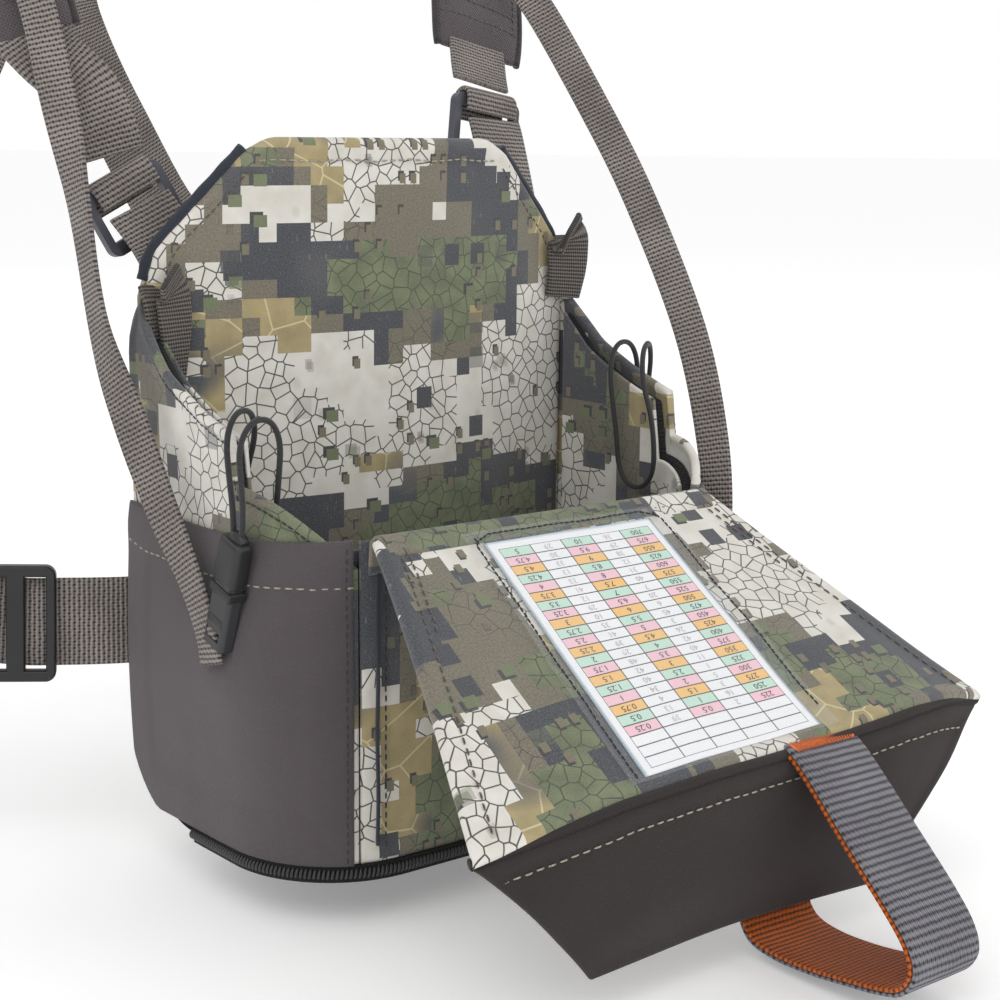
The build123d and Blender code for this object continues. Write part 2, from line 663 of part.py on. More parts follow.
CORD_ROUTES = {  # cord loop of each tether: up from its plug, over the side wall and back
    "left": [
        (-81.2, -18.8, 90.4), (-81.5, -20.2, 98.0), (-81.8, -19.8, 106.0), (-81.8, -18.8, 114.2),
        (-77.6, -18.0, 120.4), (-71.2, -17.0, 120.4), (-67.2, -15.6, 114.2), (-67.2, -14.2, 104.0),
        (-67.2, -12.6, 94.0), (-67.2, -11.6, 85.0), (-67.0, -7.2, 79.6), (-67.0, -0.6, 79.6),
        (-67.2, 3.8, 85.0), (-67.2, 4.0, 94.0), (-67.2, 1.6, 103.4), (-67.2, -3.6, 114.4), (-71.2, -8.2, 121.6),
        (-77.6, -10.8, 122.0), (-81.8, -12.8, 115.8), (-81.8, -14.2, 106.0), (-81.4, -15.2, 98.0),
        (-81.2, -15.0, 90.8),
    ],
    "right": [
        (81.7, 8.0, 88.4), (82.0, 11.6, 95.2), (82.2, 13.2, 103.6), (82.4, 13.4, 113.0),
        (82.4, 13.0, 122.4), (78.2, 12.0, 128.8), (71.6, 11.0, 128.8), (67.2, 9.4, 122.4),
        (67.2, 7.4, 110.0), (67.2, 5.4, 100.4), (67.2, 4.4, 91.4), (67.0, 0.0, 86.4),
        (67.0, -6.8, 86.4), (67.2, -11.2, 91.4), (67.2, -11.2, 100.4), (67.2, -9.6, 109.0), (67.2, -5.4, 119.0),
        (71.6, -0.6, 127.6), (78.2, 3.6, 129.8), (82.4, 7.0, 123.6), (82.6, 8.6, 113.6),
        (82.3, 8.6, 103.8), (82.0, 6.8, 95.2), (81.7, 4.4, 87.2),
    ],
}


def cord_path(points):
    """Straight runs joined by arcs, each 0.45 of its shorter run."""
    vectors = [Vector(*p) for p in points]
    radii = []
    for a, b, c in zip(vectors, vectors[1:], vectors[2:]):
        turn = math.radians((b - a).get_angle(c - b))
        run = min((b - a).length, (c - b).length)
        radii.append(0.45 * run / math.tan(turn / 2))
    return FilletPolyline(*points, radius=radii), radii


def cords():
    for name, points in CORD_ROUTES.items():
        path, radii = cord_path(points)
        wire = path.wire()
        section = Plane(origin=wire @ 0, z_dir=wire % 0) * Circle(CORD_R)
        tube = sweep(section, path=wire)
        parts[f"tether_cord_{name}"] = tube
        ideal = math.pi * CORD_R**2 * wire.length
        print(name, "cord radii", [round(r, 1) for r in radii])
        print(name, "cord length", round(wire.length, 1), "volume ratio", round(tube.volume / ideal, 4))


cords()

# ---- export ----
for node, shape in parts.items():
    solids = shape.solids()
    moved = [Pos(-ORIGIN.X, -ORIGIN.Y, -ORIGIN.Z) * s for s in solids]
    out = moved[0] if len(moved) == 1 else Compound(children=moved)
    export_step(out, f"parts/{node}.step")
print(len(parts), "nodes")
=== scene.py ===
import math
import random

import bmesh
import bpy
from mathutils import Matrix, Vector, noise


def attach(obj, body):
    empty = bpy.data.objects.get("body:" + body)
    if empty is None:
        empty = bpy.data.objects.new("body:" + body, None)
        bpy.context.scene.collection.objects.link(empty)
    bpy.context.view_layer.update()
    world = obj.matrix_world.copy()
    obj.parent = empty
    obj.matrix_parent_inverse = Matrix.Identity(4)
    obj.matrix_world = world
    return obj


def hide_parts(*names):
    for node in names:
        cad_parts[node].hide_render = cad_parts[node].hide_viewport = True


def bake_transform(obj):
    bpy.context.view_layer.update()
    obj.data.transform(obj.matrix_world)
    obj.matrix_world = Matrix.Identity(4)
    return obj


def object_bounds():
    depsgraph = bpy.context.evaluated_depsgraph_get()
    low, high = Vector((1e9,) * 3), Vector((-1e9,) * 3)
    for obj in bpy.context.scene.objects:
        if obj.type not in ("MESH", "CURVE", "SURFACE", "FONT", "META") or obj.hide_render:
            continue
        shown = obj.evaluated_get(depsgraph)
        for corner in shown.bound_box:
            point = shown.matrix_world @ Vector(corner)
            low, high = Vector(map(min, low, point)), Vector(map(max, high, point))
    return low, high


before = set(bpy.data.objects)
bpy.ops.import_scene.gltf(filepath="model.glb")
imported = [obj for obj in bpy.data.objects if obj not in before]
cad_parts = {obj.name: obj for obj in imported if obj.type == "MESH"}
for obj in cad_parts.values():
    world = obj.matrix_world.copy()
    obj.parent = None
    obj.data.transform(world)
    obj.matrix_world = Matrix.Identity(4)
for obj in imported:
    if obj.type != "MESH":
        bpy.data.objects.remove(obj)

cad_low, cad_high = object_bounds()

# The design frame is the one the part was drawn in, in millimetres: x right seen from the front,
# -y forwards, z up from the pack's base. The row's origin is the chest face's centre.
CHEST_Y, CHEST_Z = 52.0, 88.0
MM = 0.001


def row(x, y, z):
    """Point of the design frame, in metres in the row frame."""
    return Vector((x * MM, (y - CHEST_Y) * MM, (z - CHEST_Z) * MM))


def row_v(p):
    """row() for a point in one value."""
    return row(p[0], p[1], p[2])


# ---- camera ----
CAMERA_AT = (-0.3330, -0.4850, 0.1032)
CAMERA_RIGHT = Vector((0.77863, -0.62742, 0.00908))
CAMERA_FORWARD = Vector((0.61808, 0.76439, -0.18351))
CAMERA_LENS, SENSOR_WIDTH = 70.48, 36.0

cam_data = bpy.data.cameras.new("camera")
cam = bpy.data.objects.new("camera", cam_data)
bpy.context.scene.collection.objects.link(cam)
bpy.context.scene.camera = cam
cam_data.sensor_width = SENSOR_WIDTH
cam_data.lens = CAMERA_LENS
cam_data.clip_start = 0.05
cam_data.clip_end = 20.0
camera_up = CAMERA_RIGHT.cross(CAMERA_FORWARD)
turn = Matrix((CAMERA_RIGHT, camera_up, -CAMERA_FORWARD)).transposed()
cam.matrix_world = Matrix.Translation(CAMERA_AT) @ turn.to_4x4()

# ---- node helpers ----


class Nodes:
    """Short way to write a material's nodes."""

    def __init__(self, name):
        self.mat = bpy.data.materials.new(name)
        self.mat.use_nodes = True
        self.tree = self.mat.node_tree
        self.tree.nodes.clear()
        self.out = self.tree.nodes.new("ShaderNodeOutputMaterial")
        self.bsdf = self.tree.nodes.new("ShaderNodeBsdfPrincipled")
        self.tree.links.new(self.bsdf.outputs[0], self.out.inputs[0])

    def link(self, a, b):
        self.tree.links.new(a, b)

    def put(self, socket, value):
        if isinstance(value, bpy.types.NodeSocket):
            self.link(value, socket)
        else:
            socket.default_value = value

    def split(self, vector):
        """x and y of a vector."""
        n = self.tree.nodes.new("ShaderNodeSeparateXYZ")
        self.put(n.inputs[0], vector)
        return n.outputs[0], n.outputs[1]

    def math(self, op, a, b=0.0, c=0.0):
        n = self.tree.nodes.new("ShaderNodeMath")
        n.operation = op
        self.put(n.inputs[0], a)
        self.put(n.inputs[1], b)
        self.put(n.inputs[2], c)
        return n.outputs[0]

    def vmath(self, op, a, scale=1.0):
        n = self.tree.nodes.new("ShaderNodeVectorMath")
        n.operation = op
        self.put(n.inputs[0], a)
        n.inputs[3].default_value = scale
        return n.outputs[0]

    def mix(self, factor, a, b):
        n = self.tree.nodes.new("ShaderNodeMix")
        n.data_type = "RGBA"
        n.clamp_factor = True
        self.put(n.inputs[0], factor)
        self.put(n.inputs[6], a)
        self.put(n.inputs[7], b)
        return n.outputs[2]

    def step(self, value, low, high):
        """0 below low, 1 above high."""
        n = self.tree.nodes.new("ShaderNodeMapRange")
        n.clamp = True
        self.put(n.inputs[0], value)
        self.put(n.inputs[1], low)
        self.put(n.inputs[2], high)
        n.inputs[3].default_value = 0.0
        n.inputs[4].default_value = 1.0
        return n.outputs[0]

    def scaled(self, vector, x, y, z=1.0, shift=(0, 0, 0)):
        """A vector stretched on each axis, then shifted."""
        n = self.tree.nodes.new("ShaderNodeMapping")
        self.put(n.inputs[0], vector)
        n.inputs[1].default_value = shift
        n.inputs[3].default_value = (x, y, z)
        return n.outputs[0]

    def noise(self, vector, scale, detail=2.0):
        n = self.tree.nodes.new("ShaderNodeTexNoise")
        self.put(n.inputs["Vector"], vector)
        n.inputs["Scale"].default_value = scale
        n.inputs["Detail"].default_value = detail
        return n.outputs[0]

    def uv(self):
        """The cloth's own coordinates, in metres."""
        n = self.tree.nodes.new("ShaderNodeUVMap")
        n.uv_map = "cut"
        return n.outputs[0]

    def place(self):
        """Object coordinates, in metres."""
        return self.tree.nodes.new("ShaderNodeTexCoord").outputs[3]

    def bump(self, height, distance, strength):
        n = self.tree.nodes.new("ShaderNodeBump")
        n.inputs["Strength"].default_value = strength
        n.inputs["Distance"].default_value = distance
        self.put(n.inputs["Height"], height)
        self.link(n.outputs[0], self.bsdf.inputs["Normal"])

    def set(self, **values):
        """Sets the shader's sockets by name and gives the material."""
        for key, value in values.items():
            self.put(self.bsdf.inputs[key.replace("_", " ")], value)
        return self.mat


def rgb(r, g, b):
    """Linear colour of an sRGB one given in 0-255."""
    out = []
    for v in (r, g, b):
        v = v / 255
        out.append(v / 12.92 if v <= 0.04045 else ((v + 0.055) / 1.055) ** 2.4)
    return (*out, 1.0)


def twill_height(m, uv, pitch):
    """Diagonal weave: fine ribs that lean, crossed by the yarns."""
    x, y = m.split(uv)
    k = 2 * math.pi / (pitch * MM)
    diagonal = m.math("ADD", x, y)
    a = m.math("SINE", m.math("MULTIPLY", diagonal, k))
    b = m.math("SINE", m.math("MULTIPLY", m.math("SUBTRACT", x, y), k * 1.02))
    return m.math("ADD", m.math("MULTIPLY", a, 0.6), m.math("MULTIPLY", b, 0.4))


CAMO_BLOCK = 0.0052  # side of a camouflage block, in metres
CHIP_LARGE = 0.01  # rectangles smaller than this have a shadow

CAMO_CHIPS = (  # height in metres, seed, share of cells left empty, width to height, two colours
    (0.0105, 5.2, 0.74, 1.0, (rgb(44, 49, 62), rgb(44, 49, 62))),
    (0.0048, 3.3, 0.80, 0.8, (rgb(96, 108, 74), rgb(112, 104, 84))),
    (0.0056, 8.1, 0.90, 1.3, (rgb(222, 219, 210), rgb(100, 112, 78))),
)


def camo(m, uv):
    """Generic block-and-cell camouflage: five colour fields with stepped borders, cell lines in all but the
    navy one, scratches in that one, and small offset rectangles over them."""
    blocks = 1 / CAMO_BLOCK
    coarse = m.vmath("SCALE", m.vmath("FLOOR", m.vmath("SCALE", uv, blocks)), 1 / blocks)
    field = m.noise(m.scaled(coarse, 1, 1.2), 17.0, 2.0)
    second = m.noise(m.scaled(coarse, 1, 1.2, shift=(3.1, 1.7, 0)), 21.0, 2.0)
    soft_field = m.noise(m.scaled(uv, 1, 1.2, shift=(3.1, 1.7, 0)), 22.0, 1.0)

    def cells(scale, width, shift):
        v = m.tree.nodes.new("ShaderNodeTexVoronoi")
        v.feature = "DISTANCE_TO_EDGE"
        v.voronoi_dimensions = "2D"
        m.link(m.scaled(uv, 1, 1, 0.0, shift=shift), v.inputs["Vector"])
        v.inputs["Scale"].default_value = scale
        return m.math("SUBTRACT", 1.0, m.step(v.outputs[0], width * 0.45, width))

    grain = m.noise(uv, 1500.0, 2.0)
    cloud = m.noise(uv, 130.0, 3.0)
    cream = m.mix(m.step(cloud, 0.35, 0.75), rgb(226, 223, 216), rgb(208, 203, 192))
    lined = m.step(m.noise(coarse, 26.0, 1.0), 0.46, 0.4601)
    cream = m.mix(m.math("MULTIPLY", cells(240.0, 0.062, (0.3, 0.2, 0)), lined), cream, rgb(40, 42, 46))
    olive = m.mix(m.step(grain, 0.3, 0.7), rgb(94, 89, 74), rgb(120, 113, 96))
    crack = cells(190.0, 0.032, (0.9, 0.4, 0))
    olive = m.mix(m.math("MULTIPLY", crack, m.step(soft_field, 0.46, 0.56)), olive, rgb(48, 46, 38))
    navy = m.mix(m.step(grain, 0.35, 0.75), rgb(38, 42, 54), rgb(54, 60, 75))
    scratch = m.noise(m.scaled(uv, 3.2, 0.8), 420.0, 2.0)
    navy = m.mix(m.step(scratch, 0.65, 0.72), navy, rgb(92, 100, 114))
    khaki = m.mix(m.step(cloud, 0.3, 0.7), rgb(176, 158, 112), rgb(150, 136, 94))
    khaki = m.mix(cells(80.0, 0.026, (0.1, 0.7, 0)), khaki, rgb(204, 192, 150))
    khaki = m.mix(m.step(soft_field, 0.52, 0.62), khaki, rgb(50, 60, 74))
    green = m.mix(m.step(cloud, 0.35, 0.65), rgb(112, 122, 88), rgb(88, 98, 70))
    green = m.mix(cells(225.0, 0.05, (0.5, 0.8, 0)), green, rgb(48, 56, 44))

    colour = m.mix(m.step(field, 0.47, 0.4701), navy, olive)
    colour = m.mix(m.step(field, 0.535, 0.5351), colour, khaki)
    colour = m.mix(m.step(second, 0.512, 0.5121), colour, cream)
    colour = m.mix(m.step(second, 0.412, 0.4119), colour, green)

    def chips(size, seed, share, wide, shift=(0, 0, 0)):
        """Small upright rectangles, one to a cell, in some of the cells."""
        at = m.scaled(uv, 1 / (size * wide), 1 / size, 0.0, shift=(seed + shift[0], seed * 0.7 + shift[1], 0))
        cell = m.vmath("FLOOR", at)
        white = m.tree.nodes.new("ShaderNodeTexWhiteNoise")
        white.noise_dimensions = "2D"
        m.link(cell, white.inputs["Vector"])
        x, y = m.split(m.vmath("FRACTION", at))
        wx = m.math("COMPARE", x, 0.45, 0.27)
        wy = m.math("COMPARE", y, 0.5, 0.30)
        here = m.step(white.outputs["Value"], share, share + 0.0001)
        zone = m.step(m.noise(cell, 0.22, 1.0), 0.50, 0.53)
        kept = m.math("MULTIPLY", m.math("MULTIPLY", wx, wy), here)
        return m.math("MULTIPLY", kept, zone), white.outputs["Color"]

    for size, seed, share, wide, tones in CAMO_CHIPS:
        if size < CHIP_LARGE:
            shadow, _ = chips(size, seed, share, wide, shift=(0.16, -0.16))
            colour = m.mix(shadow, colour, rgb(34, 37, 46))
        chip, tint = chips(size, seed, share, wide)
        tone, _ = m.split(tint)
        colour = m.mix(chip, colour, m.mix(m.step(tone, 0.5, 0.5001), *tones))
    return colour


def camo_material():
    """The camouflage on a brushed twill, a little faded where it is worn."""
    m = Nodes("camo_cloth")
    uv = m.uv()
    colour = camo(m, uv)
    fuzz = m.noise(uv, 2600.0, 2.0)
    colour = m.mix(m.step(fuzz, 0.2, 0.9), colour, m.mix(0.16, colour, rgb(236, 232, 220)))
    worn = m.noise(m.place(), 30.0, 3.0)
    colour = m.mix(m.math("MULTIPLY", m.step(worn, 0.5, 0.9), 0.12), colour, rgb(206, 200, 186))
    height = m.math("ADD", m.math("MULTIPLY", fuzz, 0.8), twill_height(m, uv, 0.42))
    m.bump(height, 0.00006, 0.7)
    rough = m.math("ADD", 0.78, m.math("MULTIPLY", fuzz, 0.18))
    return m.set(Base_Color=colour, Roughness=rough, Sheen_Weight=0.25, Sheen_Roughness=0.5,
                 Specular_IOR_Level=0.25)


def plain_cloth(name, low, high, pitch, bump=0.00008, sheen=0.2, mottling=0.5):
    """Fine twill with uneven dye and a little fuzz, with painted shade in the weave's valleys and a painted
    highlight on its crests.
    """
    m = Nodes(name)
    uv = m.uv()
    weave = twill_height(m, uv, pitch)
    cloud = m.noise(m.place(), 34.0, 3.0)
    fine = m.noise(uv, 1900.0, 2.0)
    share = m.math("ADD", m.math("MULTIPLY", cloud, mottling), m.math("MULTIPLY", fine, 1 - mottling))
    colour = m.mix(m.step(share, 0.3, 0.7), low, high)
    # painted shade: dark goes into the weave's valleys; painted highlight: pale goes onto its crests
    dark = tuple(v * 0.62 for v in low[:3]) + (1.0,)
    pale = tuple(min(1.0, v * 1.5 + 0.01) for v in high[:3]) + (1.0,)
    colour = m.mix(m.math("MULTIPLY", m.step(weave, 0.1, -0.9), 0.5), colour, dark)
    colour = m.mix(m.math("MULTIPLY", m.step(weave, 0.45, 1.0), 0.28), colour, pale)
    m.bump(m.math("ADD", weave, m.math("MULTIPLY", fine, 0.7)), bump, 0.9)
    roughness = m.math("ADD", 0.79, m.math("MULTIPLY", cloud, 0.14))
    return m.set(Base_Color=colour, Roughness=roughness, Sheen_Weight=sheen, Sheen_Roughness=0.45,
                 Specular_IOR_Level=0.22)


def webbing_material(name, low, high, rib=1.35, depth=0.0003, thread=0.9):
    """Ribbed webbing: ribs run across, made of plied warp floats, with painted shade in the valleys between
    them and a painted highlight on the ribs.
    """
    m = Nodes(name)
    uv = m.uv()
    across, along = m.split(uv)
    wobble = m.math("MULTIPLY", m.math("SUBTRACT", m.noise(uv, 300.0, 1.0), 0.5), 0.0005)
    at = m.math("ADD", along, wobble)
    phase = m.math("MULTIPLY", at, 2 * math.pi / (rib * MM))
    ribs = m.math("SINE", phase)
    columns = m.math("SINE", m.math("MULTIPLY", across, 2 * math.pi / (thread * MM)))
    half_turn = m.math("MULTIPLY", across, math.pi / (thread * MM))
    odd = m.math("SINE", m.math("ADD", m.math("MULTIPLY", phase, 0.5), half_turn))
    height = m.math("ADD", m.math("MULTIPLY", ribs, 0.62), m.math("MULTIPLY", columns, 0.24))
    height = m.math("ADD", height, m.math("MULTIPLY", odd, 0.2))
    fine = m.noise(uv, 2400.0, 2.0)
    height = m.math("ADD", height, m.math("MULTIPLY", fine, 0.35))
    cloud = m.noise(m.place(), 60.0, 2.0)
    colour = m.mix(m.step(cloud, 0.3, 0.7), low, high)
    # painted shade: dark fills the low relief; painted highlight: pale goes onto the high ribs
    dark = tuple(v * 0.16 for v in low[:3]) + (1.0,)
    pale = tuple(min(1.0, v * 1.45) for v in high[:3]) + (1.0,)
    colour = m.mix(m.step(height, 0.22, -0.45), colour, dark)
    colour = m.mix(m.math("MULTIPLY", m.step(height, 0.55, 1.1), 0.4), colour, pale)
    m.bump(height, depth, 0.9)
    rough = m.math("ADD", 0.62, m.math("MULTIPLY", fine, 0.2))
    return m.set(Base_Color=colour, Roughness=rough, Sheen_Weight=0.12, Sheen_Roughness=0.4,
                 Specular_IOR_Level=0.35)


def thread_material(name, low, high):
    """Twisted thread or braid, uneven in colour."""
    m = Nodes(name)
    fine = m.noise(m.place(), 3000.0, 2.0)
    colour = m.mix(m.step(fine, 0.35, 0.65), low, high)
    m.bump(fine, 0.00008, 0.8)
    return m.set(Base_Color=colour, Roughness=0.7, Sheen_Weight=0.2)


def plastic_material(name, low, high, rough=0.38, grain=900.0):
    """Grained hard surface, with a painted highlight along its edges."""
    m = Nodes(name)
    p = m.place()
    fine = m.noise(p, grain, 3.0)
    cloud = m.noise(p, 70.0, 3.0)
    edge = m.tree.nodes.new("ShaderNodeNewGeometry").outputs["Pointiness"]
    colour = m.mix(m.step(cloud, 0.3, 0.7), low, high)
    # painted highlight: pale is laid on the convex edges, found by their pointiness
    pale = tuple(min(1.0, v * 2.0 + 0.03) for v in high[:3]) + (1.0,)
    colour = m.mix(m.math("MULTIPLY", m.step(edge, 0.53, 0.62), 0.5), colour, pale)
    m.bump(m.math("ADD", fine, m.math("MULTIPLY", cloud, 0.4)), 0.00003, 0.6)
    roughness = m.math("ADD", rough - 0.06, m.math("MULTIPLY", cloud, 0.16))
    return m.set(Base_Color=colour, Roughness=roughness, Specular_IOR_Level=0.5)


def mesh_material():
    """Spacer mesh: a net of small rounded holes over dark foam, the holes painted near-black as painted
    shade.
    """
    m = Nodes("spacer_net")
    p = m.place()
    v = m.tree.nodes.new("ShaderNodeTexVoronoi")
    v.feature = "F1"
    v.voronoi_dimensions = "3D"
    m.link(m.scaled(p, 1.0, 0.25, 0.8), v.inputs["Vector"])
    v.inputs["Scale"].default_value = 420.0
    v.inputs["Randomness"].default_value = 0.25
    hole = m.step(v.outputs["Distance"], 0.34, 0.2)
    fine = m.noise(p, 2600.0, 2.0)
    net = m.mix(m.step(fine, 0.3, 0.7), rgb(48, 48, 50), rgb(70, 70, 72))
    # painted shade: the holes are coloured near-black for the shade inside them, over the dark foam
    colour = m.mix(hole, net, rgb(14, 14, 15))
    m.bump(m.math("SUBTRACT", m.math("MULTIPLY", fine, 0.3), hole), 0.0005, 0.9)
    return m.set(Base_Color=colour, Roughness=0.9, Sheen_Weight=0.2)


def elastic_material():
    """Ribbed elastic: strong ribs across it, each with small knots."""
    m = Nodes("elastic_rib")
    uv = m.uv()
    x, y = m.split(uv)
    rib, knot = 0.0011, 0.0008
    ribs = m.math("SINE", m.math("MULTIPLY", y, 2 * math.pi / rib))
    turned = m.math("ADD", m.math("MULTIPLY", x, 2 * math.pi / knot), m.math("MULTIPLY", y, 900.0))
    knots = m.math("SINE", turned)
    fine = m.noise(uv, 2500.0, 2.0)
    height = m.math("ADD", ribs, m.math("MULTIPLY", knots, 0.45))
    height = m.math("ADD", height, m.math("MULTIPLY", fine, 0.5))
    # painted shade and highlight: the colour goes from dark in the rib valleys to pale on the crests, by the
    # relief's height
    colour = m.mix(m.step(height, -0.7, 0.9), rgb(36, 33, 31), rgb(120, 111, 104))
    m.bump(height, 0.0003, 0.9)
    return m.set(Base_Color=colour, Roughness=0.85, Sheen_Weight=0.15)


# The chart's printed table, in millimetres: CARD_ROWS rows of numbers, and HEADER_ROWS more without any.
CARD_COLUMN, CARD_ROW, CARD_ROWS, CARD_WIDTH, CARD_MARGIN = 10.4, 3.3, 20, 58.0, 3.0
CARD_COLUMNS, HEADER_ROWS = 5, 3.0


def card_material():
    """Printed table on a white laminated card. UV is in metres from the card's corner by the hinge."""
    m = Nodes("printed_card")
    x, y = m.split(m.uv())
    col_at = m.math("DIVIDE", m.math("SUBTRACT", x, CARD_MARGIN * MM), CARD_COLUMN * MM)
    row_at = m.math("DIVIDE", m.math("SUBTRACT", y, CARD_MARGIN * MM), CARD_ROW * MM)
    col = m.math("FLOOR", col_at)
    line = m.math("FLOOR", row_at)
    last_row = CARD_ROWS + HEADER_ROWS
    past_right = m.step(col_at, CARD_COLUMNS - 0.001, CARD_COLUMNS)
    inside = m.math("MULTIPLY", m.step(col_at, 0.0, 0.001), m.math("SUBTRACT", 1.0, past_right))
    inside = m.math("MULTIPLY", inside, m.step(row_at, 0.0, 0.001))
    past_last = m.step(row_at, last_row - 0.001, last_row)
    inside = m.math("MULTIPLY", inside, m.math("SUBTRACT", 1.0, past_last))
    tinted = m.math("COMPARE", m.math("MODULO", col, 2.0), 0.0, 0.1)
    tinted = m.math("MULTIPLY", tinted, m.math("SUBTRACT", 1.0, m.step(row_at, CARD_ROWS - 0.001, CARD_ROWS)))
    tinted = m.math("MULTIPLY", tinted, inside)
    cycle = m.math("MODULO", line, 3.0)
    tint = m.mix(m.step(cycle, 0.5, 0.51), rgb(196, 224, 208), rgb(240, 198, 208))
    tint = m.mix(m.step(cycle, 1.5, 1.51), tint, rgb(240, 194, 122))
    colour = m.mix(tinted, rgb(238, 238, 240), tint)
    edge_x = m.math("PINGPONG", col_at, 0.5)
    edge_y = m.math("PINGPONG", row_at, 0.5)
    lines = m.math("MAXIMUM", m.step(edge_x, 0.020, 0.012), m.step(edge_y, 0.062, 0.038))
    colour = m.mix(m.math("MULTIPLY", lines, inside), colour, rgb(70, 68, 68))
    outer = m.math("MINIMUM", m.math("MINIMUM", x, m.math("SUBTRACT", CARD_WIDTH * MM, x)), y)
    colour = m.mix(m.step(outer, 0.0012, 0.0006), colour, rgb(198, 212, 222))
    fine = m.noise(m.place(), 220.0, 2.0)
    m.bump(fine, 0.00004, 0.5)
    return m.set(Base_Color=colour, Roughness=0.5, Specular_IOR_Level=0.3)


def film_material():
    """Clear flexible film: mostly see-through, with soft ripples and scuffs."""
    m = Nodes("clear_sheet")
    p = m.place()
    ripple = m.noise(m.scaled(p, 1.0, 0.7, 1.0), 46.0, 2.0)
    m.bump(ripple, 0.0016, 0.6)
    scuff = m.noise(m.scaled(p, 3.0, 0.6, 0.6), 900.0, 3.0)
    alpha = m.math("ADD", 0.05, m.math("MULTIPLY", m.step(scuff, 0.6, 0.8), 0.05))
    colour = m.mix(m.step(scuff, 0.4, 0.8), rgb(232, 238, 242), rgb(248, 250, 252))
    m.mat.surface_render_method = "BLENDED"
    return m.set(Base_Color=colour, Roughness=0.11, Alpha=alpha, IOR=1.45, Specular_IOR_Level=0.6)


MAT = {
    "camo": camo_material(),
    "pocket": plain_cloth("pocket_twill", rgb(80, 74, 77), rgb(92, 86, 89), 0.62, mottling=0.6),
    "flap": plain_cloth("flap_twill", rgb(48, 42, 42), rgb(60, 54, 53), 0.55, mottling=0.6, sheen=0.08),
    "binding": plain_cloth("binding_tape", rgb(40, 44, 54), rgb(60, 64, 74), 0.5),
    "pad": plain_cloth("pad_twill", rgb(80, 74, 78), rgb(104, 97, 100), 1.15, bump=0.0002, sheen=0.18),
    "pad_edge": plain_cloth("pad_binding", rgb(60, 56, 58), rgb(78, 72, 75), 0.7, bump=0.00012),
    "base": plain_cloth("base_cloth", rgb(40, 38, 38), rgb(54, 51, 50), 0.7, bump=0.0001, sheen=0.08),
    "tape": plain_cloth("zip_tape_cloth", rgb(22, 22, 24), rgb(36, 36, 38), 0.6, bump=0.0001, sheen=0.05),
    "lining": plain_cloth("brushed_lining", rgb(30, 30, 33), rgb(48, 48, 52), 0.9, sheen=0.4),
    "foam": plain_cloth("foam_skin", rgb(26, 26, 28), rgb(40, 40, 42), 1.4, bump=0.0002, sheen=0.05),
    "webbing": webbing_material("ribbed_webbing", rgb(122, 114, 110), rgb(152, 144, 139)),
    "loop_web": webbing_material("loop_webbing", rgb(112, 110, 117), rgb(136, 134, 141), rib=1.9, thread=0.7,
                                 depth=0.0004),
    "loop_orange": webbing_material("orange_tape", rgb(176, 84, 18), rgb(200, 100, 28), rib=1.6, thread=0.7),
    "elastic": elastic_material(),
    "pale_thread": thread_material("pale_thread", rgb(132, 126, 112), rgb(176, 170, 152)),
    "dark_thread": thread_material("dark_thread", rgb(58, 52, 50), rgb(104, 96, 88)),
    "orange_thread": thread_material("orange_stitch", rgb(226, 96, 30), rgb(255, 138, 66)),
    "black_thread": thread_material("black_thread", rgb(22, 22, 24), rgb(48, 48, 52)),
    "plastic": plastic_material("black_moulding", rgb(18, 18, 20), rgb(30, 30, 33)),
    "buckle": plastic_material("buckle_moulding", rgb(44, 45, 52), rgb(62, 63, 72), rough=0.42),
    "metal": plastic_material("painted_metal", rgb(16, 16, 17), rgb(28, 28, 30), rough=0.32, grain=1600.0),
    "coil": plastic_material("coil_nylon", rgb(14, 14, 15), rgb(30, 30, 32), rough=0.4),
    "cord": thread_material("braided_cord", rgb(18, 18, 20), rgb(44, 44, 47)),
    "mesh": mesh_material(),
    "card": card_material(),
    "film": film_material(),
    "board": plastic_material("thin_board", rgb(28, 28, 28), rgb(40, 40, 40), rough=0.7),
    "steel": plastic_material("plated_disc", rgb(150, 150, 152), rgb(176, 176, 178), rough=0.3),
    "digit": plastic_material("printed_ink", rgb(66, 60, 62), rgb(84, 78, 80), rough=0.6),
    "faint_digit": plastic_material("faded_ink", rgb(176, 174, 178), rgb(196, 194, 198), rough=0.6),
}

# ---- mesh helpers ----


def add_object(name, verts, faces, material, uvs=None):
    """Mesh object in row metres from design millimetres, with a UV layer in metres."""
    mesh = bpy.data.meshes.new(name)
    mesh.from_pydata([row_v(v) for v in verts], [], faces)
    if uvs is not None:
        layer = mesh.uv_layers.new(name="cut")
        flat = [c * MM for loop in mesh.loops for c in uvs[loop.vertex_index]]
        layer.data.foreach_set("uv", flat)
    mesh.validate()
    mesh.polygons.foreach_set("use_smooth", [True] * len(mesh.polygons))
    mesh.materials.append(MAT[material])
    obj = bpy.data.objects.new(name, mesh)
    bpy.context.scene.collection.objects.link(obj)
    return obj


def clean_normals(obj):
    """Merges doubled vertices and turns all faces outwards."""
    bm = bmesh.new()
    bm.from_mesh(obj.data)
    bmesh.ops.remove_doubles(bm, verts=bm.verts, dist=1e-7)
    bmesh.ops.recalc_face_normals(bm, faces=bm.faces)
    bm.to_mesh(obj.data)
    bm.free()
    return obj


def wear(obj, body, slot, *nodes):
    """Rides obj on body and hides the CAD nodes that it stands for; slot is not used."""
    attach(obj, body)
    if nodes:
        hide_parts(*nodes)
    return obj


def ramp(low, high, step, fine=(0.0, 0.18, 0.5, 1.0, 1.8, 3.0)):
    """Parameter values from low to high, close together at both ends."""
    span = high - low
    inner = max(2, round((span - 2 * fine[-1]) / step))
    values = [low + f for f in fine]
    for i in range(1, inner):
        values.append(low + fine[-1] + (span - 2 * fine[-1]) * i / inner)
    values += [high - f for f in reversed(fine)]
    return values


def clamp(value):
    return max(0.0, min(1.0, value))


